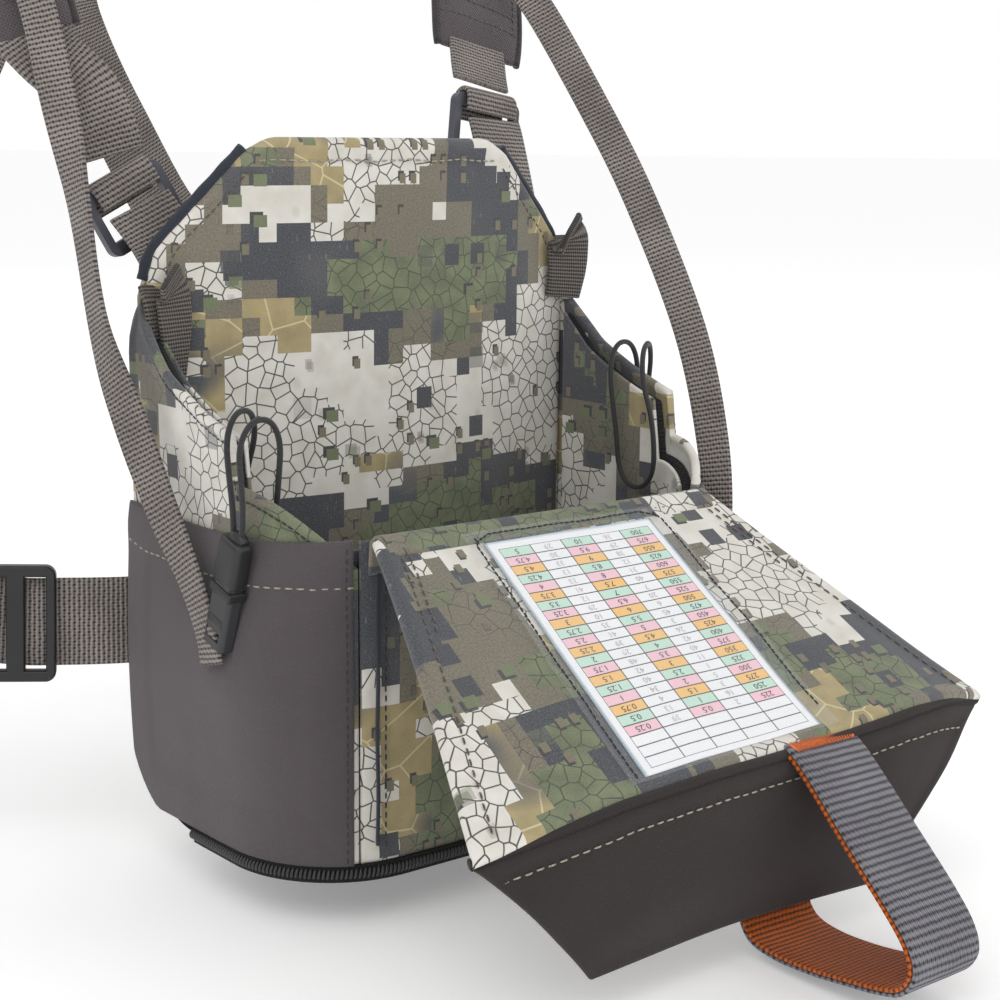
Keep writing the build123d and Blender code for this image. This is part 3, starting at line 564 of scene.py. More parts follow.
def ring_faces(rings, ring, base=0):
    """Faces of a closed tube whose vertices are rings one after another from base, with both caps."""
    faces = []
    for i in range(rings - 1):
        for k in range(ring):
            a, b = base + i * ring + k, base + i * ring + (k + 1) % ring
            faces.append((a, b, b + ring, a + ring))
    faces.append(tuple(base + k for k in reversed(range(ring))))
    last = base + (rings - 1) * ring
    faces.append(tuple(last + k for k in range(ring)))
    return faces


def sheet_mesh(name, surface, us, vs, thick, material, edge=None, uv_of=None):
    """Closed sheet on surface(u, v) -> point. Its thickness follows edge(u, v), the distance in mm to the
    nearest edge, so that borders are rolled. thick is a number or a function of that distance."""
    nu, nv = len(us), len(vs)
    mid = [[Vector(surface(u, v)) for v in vs] for u in us]
    if edge is None:
        def edge(u, v):
            return min(u - us[0], us[-1] - u, v - vs[0], vs[-1] - v)
    front, back, uvs = [], [], []
    for i, u in enumerate(us):
        for j, v in enumerate(vs):
            du = mid[min(i + 1, nu - 1)][j] - mid[max(i - 1, 0)][j]
            dv = mid[i][min(j + 1, nv - 1)] - mid[i][max(j - 1, 0)]
            n = du.cross(dv).normalized()
            d = max(0.0, edge(u, v))
            t = thick(d) if callable(thick) else thick
            half = t / 2
            if d < half:
                half = math.sqrt(max(0.0, half * half - (half - d) ** 2))
            front.append(mid[i][j] + n * half)
            back.append(mid[i][j] - n * half)
            uvs.append(uv_of(u, v) if uv_of else (u, v))
    total = nu * nv
    verts = front + back
    faces = []
    for i in range(nu - 1):
        for j in range(nv - 1):
            a, b, c, d = i * nv + j, (i + 1) * nv + j, (i + 1) * nv + j + 1, i * nv + j + 1
            faces.append((a, b, c, d))
            faces.append((total + d, total + c, total + b, total + a))
    rim = [(i, 0) for i in range(nu)] + [(nu - 1, j) for j in range(1, nv)]
    rim += [(i, nv - 1) for i in range(nu - 2, -1, -1)] + [(0, j) for j in range(nv - 2, 0, -1)]
    for k in range(len(rim)):
        a = rim[k][0] * nv + rim[k][1]
        b = rim[(k + 1) % len(rim)][0] * nv + rim[(k + 1) % len(rim)][1]
        faces.append((b, a, total + a, total + b))
    return clean_normals(add_object(name, verts, faces, material, uvs + uvs))


def rolled(base, hem, width, soft=1.5):
    """Thickness that is base inside and hem within width of the edge."""
    def thick(d):
        t = min(1.0, max(0.0, (d - width) / soft))
        return hem + (base - hem) * t * t * (3 - 2 * t)
    return thick


def catmull(points, steps):
    """Denser copy of a list of vectors, on a curve through them."""
    pts = [Vector(p) for p in points]
    out = []
    for i in range(len(pts) - 1):
        p0, p1, p2 = pts[max(i - 1, 0)], pts[i], pts[i + 1]
        p3 = pts[min(i + 2, len(pts) - 1)]
        for k in range(steps):
            t = k / steps
            out.append(0.5 * (2 * p1 + (p2 - p0) * t + (2 * p0 - 5 * p1 + 4 * p2 - p3) * t**2
                              + (3 * p1 - p0 - 3 * p2 + p3) * t**3))
    out.append(pts[-1])
    return out


def evenly(points, gap):
    """Points at equal distances along a line of points, with the direction at each."""
    out = []
    run = 0.0
    for a, b in zip(points, points[1:]):
        step = (b - a).length
        if step < 1e-9:
            continue
        while run <= step:
            out.append((a + (b - a) * (run / step), (b - a) / step))
            run += gap
        run -= step
    return out


# A stitch's stations: share of its length, of its thickness, and its height over the cloth.
STITCH = ((-0.5, 0.35, -0.25), (-0.36, 0.9, 0.05), (0.0, 1.05, 0.2), (0.36, 0.9, 0.05), (0.5, 0.35, -0.25))


def stitches(name, line, face, body, slot, material="pale_thread", pitch=2.6, length=1.7, size=0.28,
             lift=0.1):
    """A row of thread stitches along a line. face(point) gives the way the cloth looks there."""
    verts, faces = [], []
    ring = 5
    rng = random.Random(name)
    for at, along in evenly([Vector(p) for p in line], pitch):
        out = Vector(face(at)).normalized()
        side = along.cross(out).normalized()
        out = side.cross(along).normalized()
        slack = rng.uniform(-0.10, 0.10)
        base = len(verts)
        for s, r, h in STITCH:
            centre = at + along * (s * length) + side * slack + out * (lift + h * size * 1.2)
            for k in range(ring):
                a = 2 * math.pi * k / ring
                verts.append(centre + side * (math.cos(a) * size * r) + out * (math.sin(a) * size * r * 0.8))
        faces += ring_faces(len(STITCH), ring, base)
    return wear(add_object(name, verts, faces, material), body, slot)


def tube(name, line, radius, material, sides=10, flat=1.0, up=(0, 0, 1)):
    """Closed tube along a line; radius may be a function of the share along it."""
    pts = [Vector(p) for p in line]
    verts, uvs = [], []
    run = 0.0
    for i, p in enumerate(pts):
        along = (pts[min(i + 1, len(pts) - 1)] - pts[max(i - 1, 0)]).normalized()
        side = along.cross(Vector(up))
        side = side.normalized() if side.length > 1e-6 else along.orthogonal().normalized()
        out = side.cross(along).normalized()
        r = radius(i / (len(pts) - 1)) if callable(radius) else radius
        if i:
            run += (p - pts[i - 1]).length
        for k in range(sides):
            a = 2 * math.pi * k / sides
            verts.append(p + side * (math.cos(a) * r) + out * (math.sin(a) * r * flat))
            uvs.append((run, r * a))
    return clean_normals(add_object(name, verts, ring_faces(len(pts), sides), material, uvs))


def stations(route, widths, steps):
    """Stations along route, a list of (point, way its face looks): the point, the way across, the way out of
    the face, the width, which goes by widths, and the distance run."""
    pts = catmull([p for p, _ in route], steps)
    looks = catmull([Vector(f).normalized() for _, f in route], steps)
    got = []
    run = 0.0
    for i, p in enumerate(pts):
        along = (pts[min(i + 1, len(pts) - 1)] - pts[max(i - 1, 0)]).normalized()
        across = along.cross(looks[i]).normalized()
        if i:
            run += (p - pts[i - 1]).length
        share = i / steps
        whole = min(int(share), len(widths) - 2)
        width = widths[whole] + (widths[whole + 1] - widths[whole]) * (share - whole)
        got.append((p, across, across.cross(along).normalized(), width, run))
    return got


def strap(name, route, width, thick, material, steps=8, waver=0.0):
    """Webbing along route, as stations() takes it, with rounded edges. UV is (across, along)."""
    widths = width if isinstance(width, (list, tuple)) else [width] * len(route)
    section = []
    edge_r = thick / 2
    for k in range(5):
        a = -math.pi / 2 + math.pi * k / 4
        section.append((0.5, -edge_r + math.cos(a) * edge_r, math.sin(a)))
    for k in range(1, 8):
        section.append((0.5 - k / 8, 0.0, 1.0))
    for k in range(5):
        a = math.pi / 2 + math.pi * k / 4
        section.append((-0.5, edge_r + math.cos(a) * edge_r, math.sin(a)))
    for k in range(1, 8):
        section.append((-0.5 + k / 8, 0.0, -1.0))
    verts, uvs = [], []
    line = stations(route, widths, steps)
    for p, across, out, w, run in line:
        for where, inset, up in section:
            x = where * w + inset
            cup = waver * math.sin(run * 0.09 + where * 2.0) * abs(where)
            verts.append(p + across * x + out * (up * edge_r + cup))
            uvs.append((x, run))
    return clean_normals(add_object(name, verts, ring_faces(len(line), len(section)), material, uvs))


def box_mesh(name, plane, size, material, bevel):
    """Rounded block. plane is a 4x4 matrix in design millimetres."""
    bm = bmesh.new()
    bmesh.ops.create_cube(bm, size=1.0)
    bmesh.ops.scale(bm, vec=Vector(size), verts=bm.verts)
    bmesh.ops.bevel(bm, geom=list(bm.edges), offset=bevel, segments=3, profile=0.6, affect="EDGES")
    verts = [plane @ v.co for v in bm.verts]
    faces = [[v.index for v in f.verts] for f in bm.faces]
    bm.free()
    return add_object(name, verts, faces, material)


def frame_of(origin, x_dir, z_dir):
    """Matrix that puts the origin, x and z axes at a point and along two ways."""
    x = Vector(x_dir).normalized()
    z = Vector(z_dir)
    z = (z - x * z.dot(x)).normalized()
    y = z.cross(x)
    m = Matrix((x, y, z)).transposed().to_4x4()
    return Matrix.Translation(Vector(origin)) @ m


# ---- cords, first ----
CORD_R = 0.8
CORD_ROUTES = {
    "left": [
        (-81.2, -18.8, 90.4), (-81.5, -20.2, 98.0), (-81.8, -19.8, 106.0), (-81.8, -18.8, 114.2),
        (-77.6, -18.0, 120.4), (-71.2, -17.0, 120.4), (-67.2, -15.6, 114.2), (-67.2, -14.2, 104.0),
        (-67.2, -12.6, 94.0), (-67.2, -11.6, 85.0), (-67.0, -7.2, 79.6), (-67.0, -0.6, 79.6),
        (-67.2, 3.8, 85.0), (-67.2, 4.0, 94.0), (-67.2, 1.6, 103.4), (-67.2, -3.6, 114.4),
        (-71.2, -8.2, 121.6), (-77.6, -10.8, 122.0), (-81.8, -12.8, 115.8), (-81.8, -14.2, 106.0),
        (-81.4, -15.2, 98.0), (-81.2, -15.0, 90.8),
    ],
    "right": [
        (81.7, 8.0, 88.4), (82.0, 11.6, 95.2), (82.2, 13.2, 103.6), (82.4, 13.4, 113.0),
        (82.4, 13.0, 122.4), (78.2, 12.0, 128.8), (71.6, 11.0, 128.8), (67.2, 9.4, 122.4),
        (67.2, 7.4, 110.0), (67.2, 5.4, 100.4), (67.2, 4.4, 91.4), (67.0, 0.0, 86.4),
        (67.0, -6.8, 86.4), (67.2, -11.2, 91.4), (67.2, -11.2, 100.4), (67.2, -9.6, 109.0),
        (67.2, -5.4, 119.0), (71.6, -0.6, 127.6), (78.2, 3.6, 129.8), (82.4, 7.0, 123.6),
        (82.6, 8.6, 113.6), (82.3, 8.6, 103.8), (82.0, 6.8, 95.2), (81.7, 4.4, 87.2),
    ],
}


def cords():
    """The loop of thin cord on each tether's clip."""
    for side, points in CORD_ROUTES.items():
        curve = bpy.data.curves.new(f"cord_loop_{side}", "CURVE")
        curve.dimensions = "3D"
        spline = curve.splines.new("NURBS")
        spline.points.add(len(points) - 1)
        for point, target in zip(points, spline.points):
            target.co = (*row_v(point), 1.0)
        spline.order_u = 3
        spline.use_endpoint_u = True
        spline.resolution_u = 8
        curve.bevel_depth = CORD_R * MM
        curve.bevel_resolution = 3
        curve.use_fill_caps = True
        curve.materials.append(MAT["cord"])
        obj = bpy.data.objects.new(f"cord_loop_{side}", curve)
        bpy.context.scene.collection.objects.link(obj)
        wear(obj, f"tether_plug_{side}", "cord", f"tether_cord_{side}")
        tuple(row_v(points[0]))


cords()

SIDES = {"left": -1, "right": 1}

# ---- pack body ----
HALF_WIDTH, FRONT, CORNER = 78.0, -40.0, 32.0
SKIN, GAP, FOAM, LINING = 1.2, 0.3, 3.0, 0.8
PANEL_RADIUS, PANEL_FRONT, PANEL_THICK = 270.0, 31.0, 4.0
BASE_ROUND, REAR = 28.0, 46.0
LID_NEAR_HALF, LID_FAR_HALF, LID_CROWN = 57.5, 83.0, 6.0
ZIP_TOP, CLOTH_LOW, COIL_Z = 8.0, 4.8, 3.1
WALL_INSET = SKIN + GAP + 0.6  # middle of the walls' cloth
WALL_REAR, POCKET_REAR = 45.4, 45.0
WALL_TOP, POCKET_TOP = 90.4, 91.0


def wall_line(inset):
    """Outline of the wall seen from above, by distance from the middle of the front: at(s) gives the place
    and the way the wall looks, and reach(y) the distance to y on the straight side."""
    r = CORNER - inset
    w, f = HALF_WIDTH - inset, FRONT + inset
    flat = w - r
    arc = r * math.pi / 2

    def at(s):
        sign = 1 if s >= 0 else -1
        s = abs(s)
        if s <= flat:
            p, n = (s, f), (0, -1)
        elif s <= flat + arc:
            a = (s - flat) / r
            p = (flat + r * math.sin(a), f + r - r * math.cos(a))
            n = (math.sin(a), -math.cos(a))
        else:
            p, n = (w, f + r + (s - flat - arc)), (1, 0)
        return (sign * p[0], p[1]), (sign * n[0], n[1])

    def reach(y):
        return flat + arc + (y - (FRONT + CORNER))

    return at, reach


def wall_half(y, inset):
    """Half of the pack's width at y, inside the wall by inset."""
    c = FRONT + CORNER
    if y >= c:
        return HALF_WIDTH - inset
    return HALF_WIDTH - CORNER + math.sqrt(max(0.0, (CORNER - inset) ** 2 - (c - y) ** 2))


def panel_y(x, radius):
    """y of the curved back panel at x, on an arc of this radius."""
    return PANEL_FRONT + PANEL_RADIUS - math.sqrt(radius**2 - x * x)


def base_rise(y, inset=0.0):
    """Height of the base's underside at y: it rounds up into the rear wall."""
    r = BASE_ROUND - inset
    start = REAR - BASE_ROUND
    if y <= start:
        return inset
    return inset + r - math.sqrt(max(0.0, r * r - (y - start) ** 2))


def hem_height(x, y):
    """Top of the side walls."""
    x = abs(x)
    if y < -11:
        side = 104 + (y + 40) * 11 / 29
    elif y < 24:
        side = 115 + (y + 11) * 14 / 35 - 1.2 * math.sin(math.pi * (y + 11) / 35)
    else:
        side = 129 + (y - 24) * 19 / 21
    inner = 90 - 14 / 13 * (64 - LID_NEAR_HALF)
    slope = inner + 14 / 13 * (x - LID_NEAR_HALF)
    return min(side, slope) if y < -8 else side


def puff(s, z, seed, size):
    """Slow unevenness of soft cloth, in mm."""
    return size * (noise.noise(Vector((s * 0.021, z * 0.027, seed))) * 1.3
                   + 0.35 * noise.noise(Vector((s * 0.06, z * 0.07, seed + 9))))


def side_panels():
    """Printed side walls, whose free rear corners fold in a little."""
    at, reach = wall_line(WALL_INSET)
    start = LID_NEAR_HALF + GAP
    end = reach(WALL_REAR)
    for side, sign in SIDES.items():
        us = ramp(start, end, 2.2)
        vs = [0, 0.004, 0.01, 0.02, 0.035, 0.06] + [0.06 + 0.88 * k / 24 for k in range(1, 24)]
        vs += [0.94, 0.958, 0.972, 0.982, 0.99, 0.996, 1.0]

        def low_high(u):
            (x, y), _ = at(u)
            return max(CLOTH_LOW, base_rise(y, 2.0) + 1.0), hem_height(x, y)

        def surface(u, v):
            (x, y), n = at(u)
            low, high = low_high(u)
            z = low + (high - low) * v
            free = clamp((z - 88) / 30)
            rear = clamp((y - 28) / 16) * free
            x -= 5.0 * rear * max(0.0, (z - 132) / 16) ** 2
            share = (u - start) / (end - start)
            bulge = puff(u * sign, z, 3.0, 1.3) * free + 1.2 * free * math.sin(math.pi * share)
            return (sign * (x + n[0] * bulge), y + n[1] * bulge, z)

        def edge(u, v):
            low, high = low_high(u)
            h = high - low
            return min(u - start, end - u, v * h, (1 - v) * h)

        def uv_of(u, v):
            low, high = low_high(u)
            return sign * u, low + (high - low) * v

        obj = sheet_mesh(f"side_wall_{side}", surface, us, vs, rolled(1.4, 2.7, 2.2, 0.8), "camo", edge,
                         uv_of)
        wear(obj, "pack", "camo_fabric", f"side_panel_{side}")
        line = []
        for u in ramp(start + 3, end - 2, 3.0):
            p = Vector(surface(u, 1.0))
            n = at(u)[1]
            line.append(p + Vector((sign * n[0], n[1], 0)) * 0.9 + Vector((0, 0, -3.2)))
        stitches(f"side_wall_stitch_{side}", line, outward, "pack", "camo_fabric", "black_thread",
                 pitch=2.0, size=0.22)


def outward(p):
    """Way the wall looks at a point near it."""
    x, y = p[0], p[1]
    cx = math.copysign(HALF_WIDTH - CORNER, x)
    cy = FRONT + CORNER
    if abs(x) <= HALF_WIDTH - CORNER:
        return Vector((0, -1, 0))
    if y >= cy:
        return Vector((math.copysign(1, x), 0, 0))
    return Vector((x - cx, y - cy, 0)).normalized()


def front_panel():
    """Printed front wall between the pockets."""
    at, _ = wall_line(WALL_INSET)
    us = ramp(-LID_NEAR_HALF, LID_NEAR_HALF, 3.0)
    vs = ramp(CLOTH_LOW, WALL_TOP, 3.2)

    def surface(u, v):
        (x, y), n = at(u)
        bulge = puff(u, v, 5.0, 0.9) * math.sin(math.pi * (v - 8) / 84)
        return (x + n[0] * bulge, y + n[1] * bulge, v)

    obj = sheet_mesh("front_wall", surface, us, vs, rolled(1.2, 1.9, 3.0), "camo")
    wear(obj, "pack", "camo_fabric", "front_panel")


def pockets():
    """Stretch pockets over the side walls, with a stitched hem and front edge."""
    at, reach = wall_line(0.6)
    start = 60.0
    end = reach(POCKET_REAR)
    top = POCKET_TOP
    for side, sign in SIDES.items():
        us = ramp(start, end, 2.0)
        vs = ramp(0.0, 1.0, 0.04, fine=(0.0, 0.002, 0.006, 0.012, 0.022, 0.036))

        def low(u):
            (x, y), _ = at(u)
            return max(CLOTH_LOW, base_rise(y) + 0.4)

        def surface(u, v):
            (x, y), n = at(u)
            z = low(u) + (top - low(u)) * v
            share = (u - start) / (end - start)
            arch = math.sin(math.pi * share)
            upright = math.sin(math.pi * clamp((z - 6) / 86))
            swell = 2.4 * upright * arch ** 0.7
            swell += puff(u * sign, z, 11.0, 0.8) * arch
            swell += 1.6 * max(0.0, share - 0.6) / 0.4 * upright
            hem = 0.5 * math.exp(-((z - (top - 6)) / 5) ** 2)
            sag = 1.6 * arch * max(0.0, (z - 60) / 31)
            return (sign * (x + n[0] * (swell + hem)), y + n[1] * (swell + hem), z - sag)

        def edge(u, v):
            h = top - low(u)
            return min(u - start, end - u, v * h, (1 - v) * h)

        obj = sheet_mesh(f"pocket_{side}", surface, us, vs, rolled(1.1, 1.9, 11.0, 1.0), "pocket", edge,
                         uv_of=lambda u, v: (sign * u, low(u) + (top - low(u)) * v))
        wear(obj, "pack", "stretch_fabric", f"side_pocket_{side}")
        share = (top - 11.6 - ZIP_TOP) / (top - ZIP_TOP)
        hem_line = [surface(u, share) for u in ramp(start + 1, end - 1, 2.5)]
        line = [Vector(p) + outward(p) * 0.75 for p in hem_line]
        stitches(f"pocket_hem_stitch_{side}", line, outward, "pack", "stretch_fabric", pitch=3.1, length=2.0)
        rises = ramp(0.02, 0.98, 0.03, fine=(0.0, 0.01))
        line = [Vector(surface(start + 2.2, v)) + Vector((0, -0.95, 0)) for v in rises]
        stitches(f"pocket_edge_stitch_{side}", line, outward, "pack", "stretch_fabric", "black_thread",
                 pitch=2.4)


def forwards(p):
    """Way the front wall and the back panel's front look."""
    return (0, -1, 0)


def seam_strip():
    """Raised seams where the front wall meets the pockets."""
    for side, sign in SIDES.items():
        line = [(sign * 54.0, FRONT + 0.9 + 0.2 * math.sin(z * 0.2), z) for z in range(10, 90, 2)]
        obj = tube(f"front_seam_{side}", line, 0.7, "binding", flat=0.6, up=(1, 0, 0))
        wear(obj, "pack", "camo_fabric")
        stitch = [(sign * 51.5, FRONT + 0.9, z) for z in range(10, 90, 2)]
        stitches(f"front_seam_stitch_{side}", stitch, forwards, "pack", "camo_fabric", "black_thread")


def base():
    """Base cloth under the pack, up its rear."""
    front, rear = FRONT + 3.0, REAR - 2.05

    us = [-1 + 2 * k / 40 for k in range(41)]

    def surface(u, v):
        y = front + (rear - front) * v
        y_arc = panel_y(u * wall_half(y, WALL_INSET), PANEL_RADIUS)
        y = min(y, y_arc - 0.8)
        return (u * wall_half(y, WALL_INSET), y, base_rise(y, WALL_INSET))

    vs = [k / 60 for k in range(61)]
    obj = sheet_mesh("base_cloth", surface, us, vs, 1.1, "base",
                     edge=lambda u, v: min((1 - abs(u)) * 70, v * 84, (1 - v) * 84),
                     uv_of=lambda u, v: (u * 76, v * 90))
    wear(obj, "pack", "base_fabric", "base_panel")


def zip_round():
    """Tape and interlocked coil round the base."""
    at, reach = wall_line(0.45)
    end = reach(14.0)
    us = ramp(-end, end, 2.4)
    vs = ramp(0.5, CLOTH_LOW + 0.4, 1.0, fine=(0.0, 0.2, 0.5))

    def surface(u, v):
        (x, y), n = at(u)
        lip = 0.45 * math.exp(-((v - COIL_Z) / 1.4) ** 2)
        return (x + n[0] * lip, y + n[1] * lip, v)

    obj = sheet_mesh("zip_tape", surface, us, vs, 0.7, "tape")
    wear(obj, "pack", "zip_tape", "zipper_tape")
    verts, faces = [], []
    rings, ring = 7, 6
    count = round(2 * end / 1.15)
    for i in range(count + 1):
        u = -end + 2 * end * i / count
        (x, y), n = at(u)
        out = Vector((n[0], n[1], 0))
        side = Vector((-n[1], n[0], 0))
        centre = Vector((x, y, COIL_Z)) + out * 1.15
        faces += ring_faces(rings, ring, len(verts))
        for a in range(rings):
            s = -1 + 2 * a / (rings - 1)
            r = 0.52 * math.sqrt(max(0.05, 1 - abs(s) ** 3))
            c = centre + Vector((0, 0, s * 1.45)) + side * (0.28 * s) - out * (0.42 * s * s)
            for b in range(ring):
                t = 2 * math.pi * b / ring
                verts.append(c + side * (math.cos(t) * r) + out * (math.sin(t) * r))
    obj = clean_normals(add_object("zip_coil", verts, faces, "coil"))
    wear(obj, "pack", "zip_coil", "zipper_coil")


def padding():
    """Foam inside the walls, faced with the same printed cloth."""
    rim_below = {"wall_foam": 3.6, "compartment_lining": 3.0}
    for name, inset, thick, material, slot_name, node in (
        ("foam_wall", 2 * SKIN + GAP + FOAM / 2, FOAM - 0.3, "foam", "foam", "wall_foam"),
        ("lining_wall", 2 * SKIN + GAP + FOAM + LINING / 2 + 0.2, LINING + 0.3, "camo", "camo_fabric",
         "compartment_lining"),
    ):
        at, reach = wall_line(inset)
        end = reach(36.0)
        us = ramp(-end, end, 2.6)
        vs = [k / 30 for k in range(28)] + [0.93, 0.95, 0.968, 0.98, 0.988, 0.994, 1.0]

        def span(u):
            (x, y), _ = at(u)
            top = hem_height(x, y) if abs(x) > LID_NEAR_HALF or y > -8 else WALL_TOP
            return base_rise(y, inset) + 1.5, top - rim_below[node]

        def surface(u, v):
            (x, y), _ = at(u)
            low, high = span(u)
            return (x, y, low + (high - low) * v)

        def edge(u, v):
            low, high = span(u)
            h = high - low
            return min(end - abs(u), v * h, (1 - v) * h)

        obj = sheet_mesh(name, surface, us, vs, thick, material, edge,
                         uv_of=lambda u, v: (u, surface(u, v)[2]))
        wear(obj, "pack", slot_name, node)


def floor_lining():
    """Lined foam board on the compartment's floor."""
    inset = 2 * SKIN + GAP + FOAM + LINING + 0.6

    def surface(u, v):
        y = FRONT + inset + 1.0 + (30.0 - FRONT - inset - 1.0) * v
        return (u * wall_half(y, inset), y, 6.2 + base_rise(y) + 0.5 * math.sin(2 * u) * v)

    obj = sheet_mesh("floor_pad", surface, [-1 + k / 16 for k in range(33)], [k / 24 for k in range(25)], 2.4,
                     "lining", edge=lambda u, v: min((1 - abs(u)) * 66, v * 68, (1 - v) * 68),
                     uv_of=lambda u, v: (u * 70, v * 68))
    wear(obj, "pack", "lining")


front_panel()
side_panels()
pockets()
seam_strip()
base()
zip_round()
padding()
floor_lining()

# ---- back panel ----
PANEL_TOP, PANEL_TOP_HALF, SHOULDER_HALF, SHOULDER_Z = 190.0, 42.5, 71.0, 160.0


def panel_top(x):
    """Height of the back panel's upper edge at x: a flat top, two slopes and low shoulders."""
    x = abs(x)
    if x > SHOULDER_HALF:
        return 140 + (HALF_WIDTH - 1 - x) * 20 / (HALF_WIDTH - 1 - SHOULDER_HALF)
    if x > PANEL_TOP_HALF:
        z = SHOULDER_Z + (SHOULDER_HALF - x) * (PANEL_TOP - SHOULDER_Z) / (SHOULDER_HALF - PANEL_TOP_HALF)
    else:
        z = PANEL_TOP
    d = abs(x - PANEL_TOP_HALF)
    return z - 2.4 * max(0.0, 1 - d / 7) ** 2


PANEL_OUTLINE = [(-75, 6), (-75, 140), (-71, 160), (-44.5, 187.6), (-38, 190), (38, 190), (44.5, 187.6),
                 (71, 160), (75, 140), (75, 6)]


def outline_distance(x, z):
    """Distance from a point of the panel to its outline."""
    best = 1e9
    p = Vector((x, z))
    pts = [Vector(q) for q in PANEL_OUTLINE]
    for a, b in zip(pts, pts[1:] + pts[:1]):
        ab = b - a
        t = max(0.0, min(1.0, (p - a).dot(ab) / ab.length_squared))
        best = min(best, (p - a - ab * t).length)
    return best


def back_panel():
    """Printed back panel, with bound slopes and a stitched top."""
    half = 75.0
    us = ramp(-half, half, 2.0, fine=(0.0, 0.2, 0.6, 1.2, 2.0, 3.0))
    vs = [k / 44 for k in range(42)] + [0.958, 0.967, 0.975, 0.982, 0.988, 0.993, 0.9965, 0.999, 1.0]
    low = 6.0

    def surface(u, v):
        z0 = max(low, base_rise(panel_y(u, PANEL_RADIUS), 2.7) + 0.4)
        z = z0 + (panel_top(u) - z0) * v
        soft = max(0.0, (z - 120) / 70)
        curl = -2.2 * soft * soft * math.cos(u * 0.02) + puff(u, z, 21.0, 1.0) * soft
        return (u, panel_y(u, PANEL_RADIUS - PANEL_THICK / 2) + curl * 0.5, z)

    def edge(u, v):
        p = surface(u, v)
        return min(outline_distance(p[0], p[2]), half - abs(u), (1 - v) * (panel_top(u) - low))

    obj = sheet_mesh("back_sheet", surface, us, vs, rolled(3.6, 4.6, 3.6, 2.0), "camo", edge,
                     uv_of=lambda u, v: (u, surface(u, v)[2]))
    wear(obj, "pack", "camo_fabric", "back_panel")

    def on_front(x, z, lift):
        v = (z - low) / (panel_top(x) - low)
        p = Vector(surface(x, min(1.0, max(0.0, v))))
        return Vector((x, p.y - lift, z))

    for side, sign in SIDES.items():
        slope = [(73.8, 151.5), (70.6, 160.4), (57, 175.2), (45.5, 187.0)]
        pts = catmull([Vector((sign * x, 0, z)) for x, z in slope], 10)
        line = [Vector((p.x, panel_y(p.x, PANEL_RADIUS - PANEL_THICK / 2) - 0.4, p.z)) for p in pts]
        obj = tube(f"back_binding_{side}", line, lambda t: 1.5 + 0.1 * math.sin(40 * t), "binding", sides=14,
                   up=(0, 1, 0))
        wear(obj, "pack", "camo_fabric")
        inner = [(70.5, 142), (66.5, 157.5), (54, 171), (43.5, 182)]
        pts = catmull([Vector((sign * x, 0, z)) for x, z in inner], 10)
        line = [on_front(p.x, p.z, 2.0) for p in pts]
        stitches(f"back_slope_stitch_{side}", line, forwards, "pack", "camo_fabric", "dark_thread", pitch=2.4)
    top_line = [on_front(x, 183.6 + 0.25 * math.sin(x * 0.3), 2.1) for x in range(-41, 42, 2)]
    stitches("back_top_stitch", top_line, forwards, "pack", "camo_fabric", pitch=3.0, length=2.1)


back_panel()


def elastic_tabs():
    """Folded elastic at each rear corner: a doubled tab, narrow at its foot, whose top curls over."""
    widths = {
        "left": [6.6, 7.6, 8.8, 10.0, 11.0, 11.6, 11.8, 11.6, 11.0],
        "right": [12.0, 12.6, 13.2, 13.8, 14.2, 14.6, 15.0, 15.4, 15.8],
    }
    foot = {"left": (-67.6, 124.0, 33.0), "right": (71.6, 141.0, 25.0)}
    for side, sign in SIDES.items():
        x0, z0, rise = foot[side]
        for k, (dx, dy, tall) in enumerate(((0.0, 0.0, 1.0), (2.2, 2.6, 0.9))):
            route = []
            for t in range(9):
                h = t / 8
                curl = 4.4 * max(0.0, h - 0.72) / 0.28
                x = x0 + sign * (dx + 1.2 * h) - curl * 0.5 * (1 - k)
                y = 37.0 + dy - 1.6 * math.sin(math.pi * h) - (curl if k == 0 else -curl * 0.4)
                z = z0 + rise * tall * h - 0.9 * curl
                route.append(((x, y, z), (sign * -0.15, -1.0, 0.25 + 0.9 * max(0.0, h - 0.7))))
            obj = strap(f"elastic_tab_{side}_{k}", route, widths[side], 1.6, "elastic", steps=4, waver=0.5)
            wear(obj, "pack", "elastic", *([f"elastic_tab_{side}"] if k == 0 else []))


elastic_tabs()

# ---- padded pieces ----


VOXEL = 4.0  # of the pads' meshes, in millimetres
CLOTH_FRAMES = 20


def design(co):
    """Point of the design frame for a mesh's point in row metres."""
    return co / MM + Vector((0, CHEST_Y, CHEST_Z))


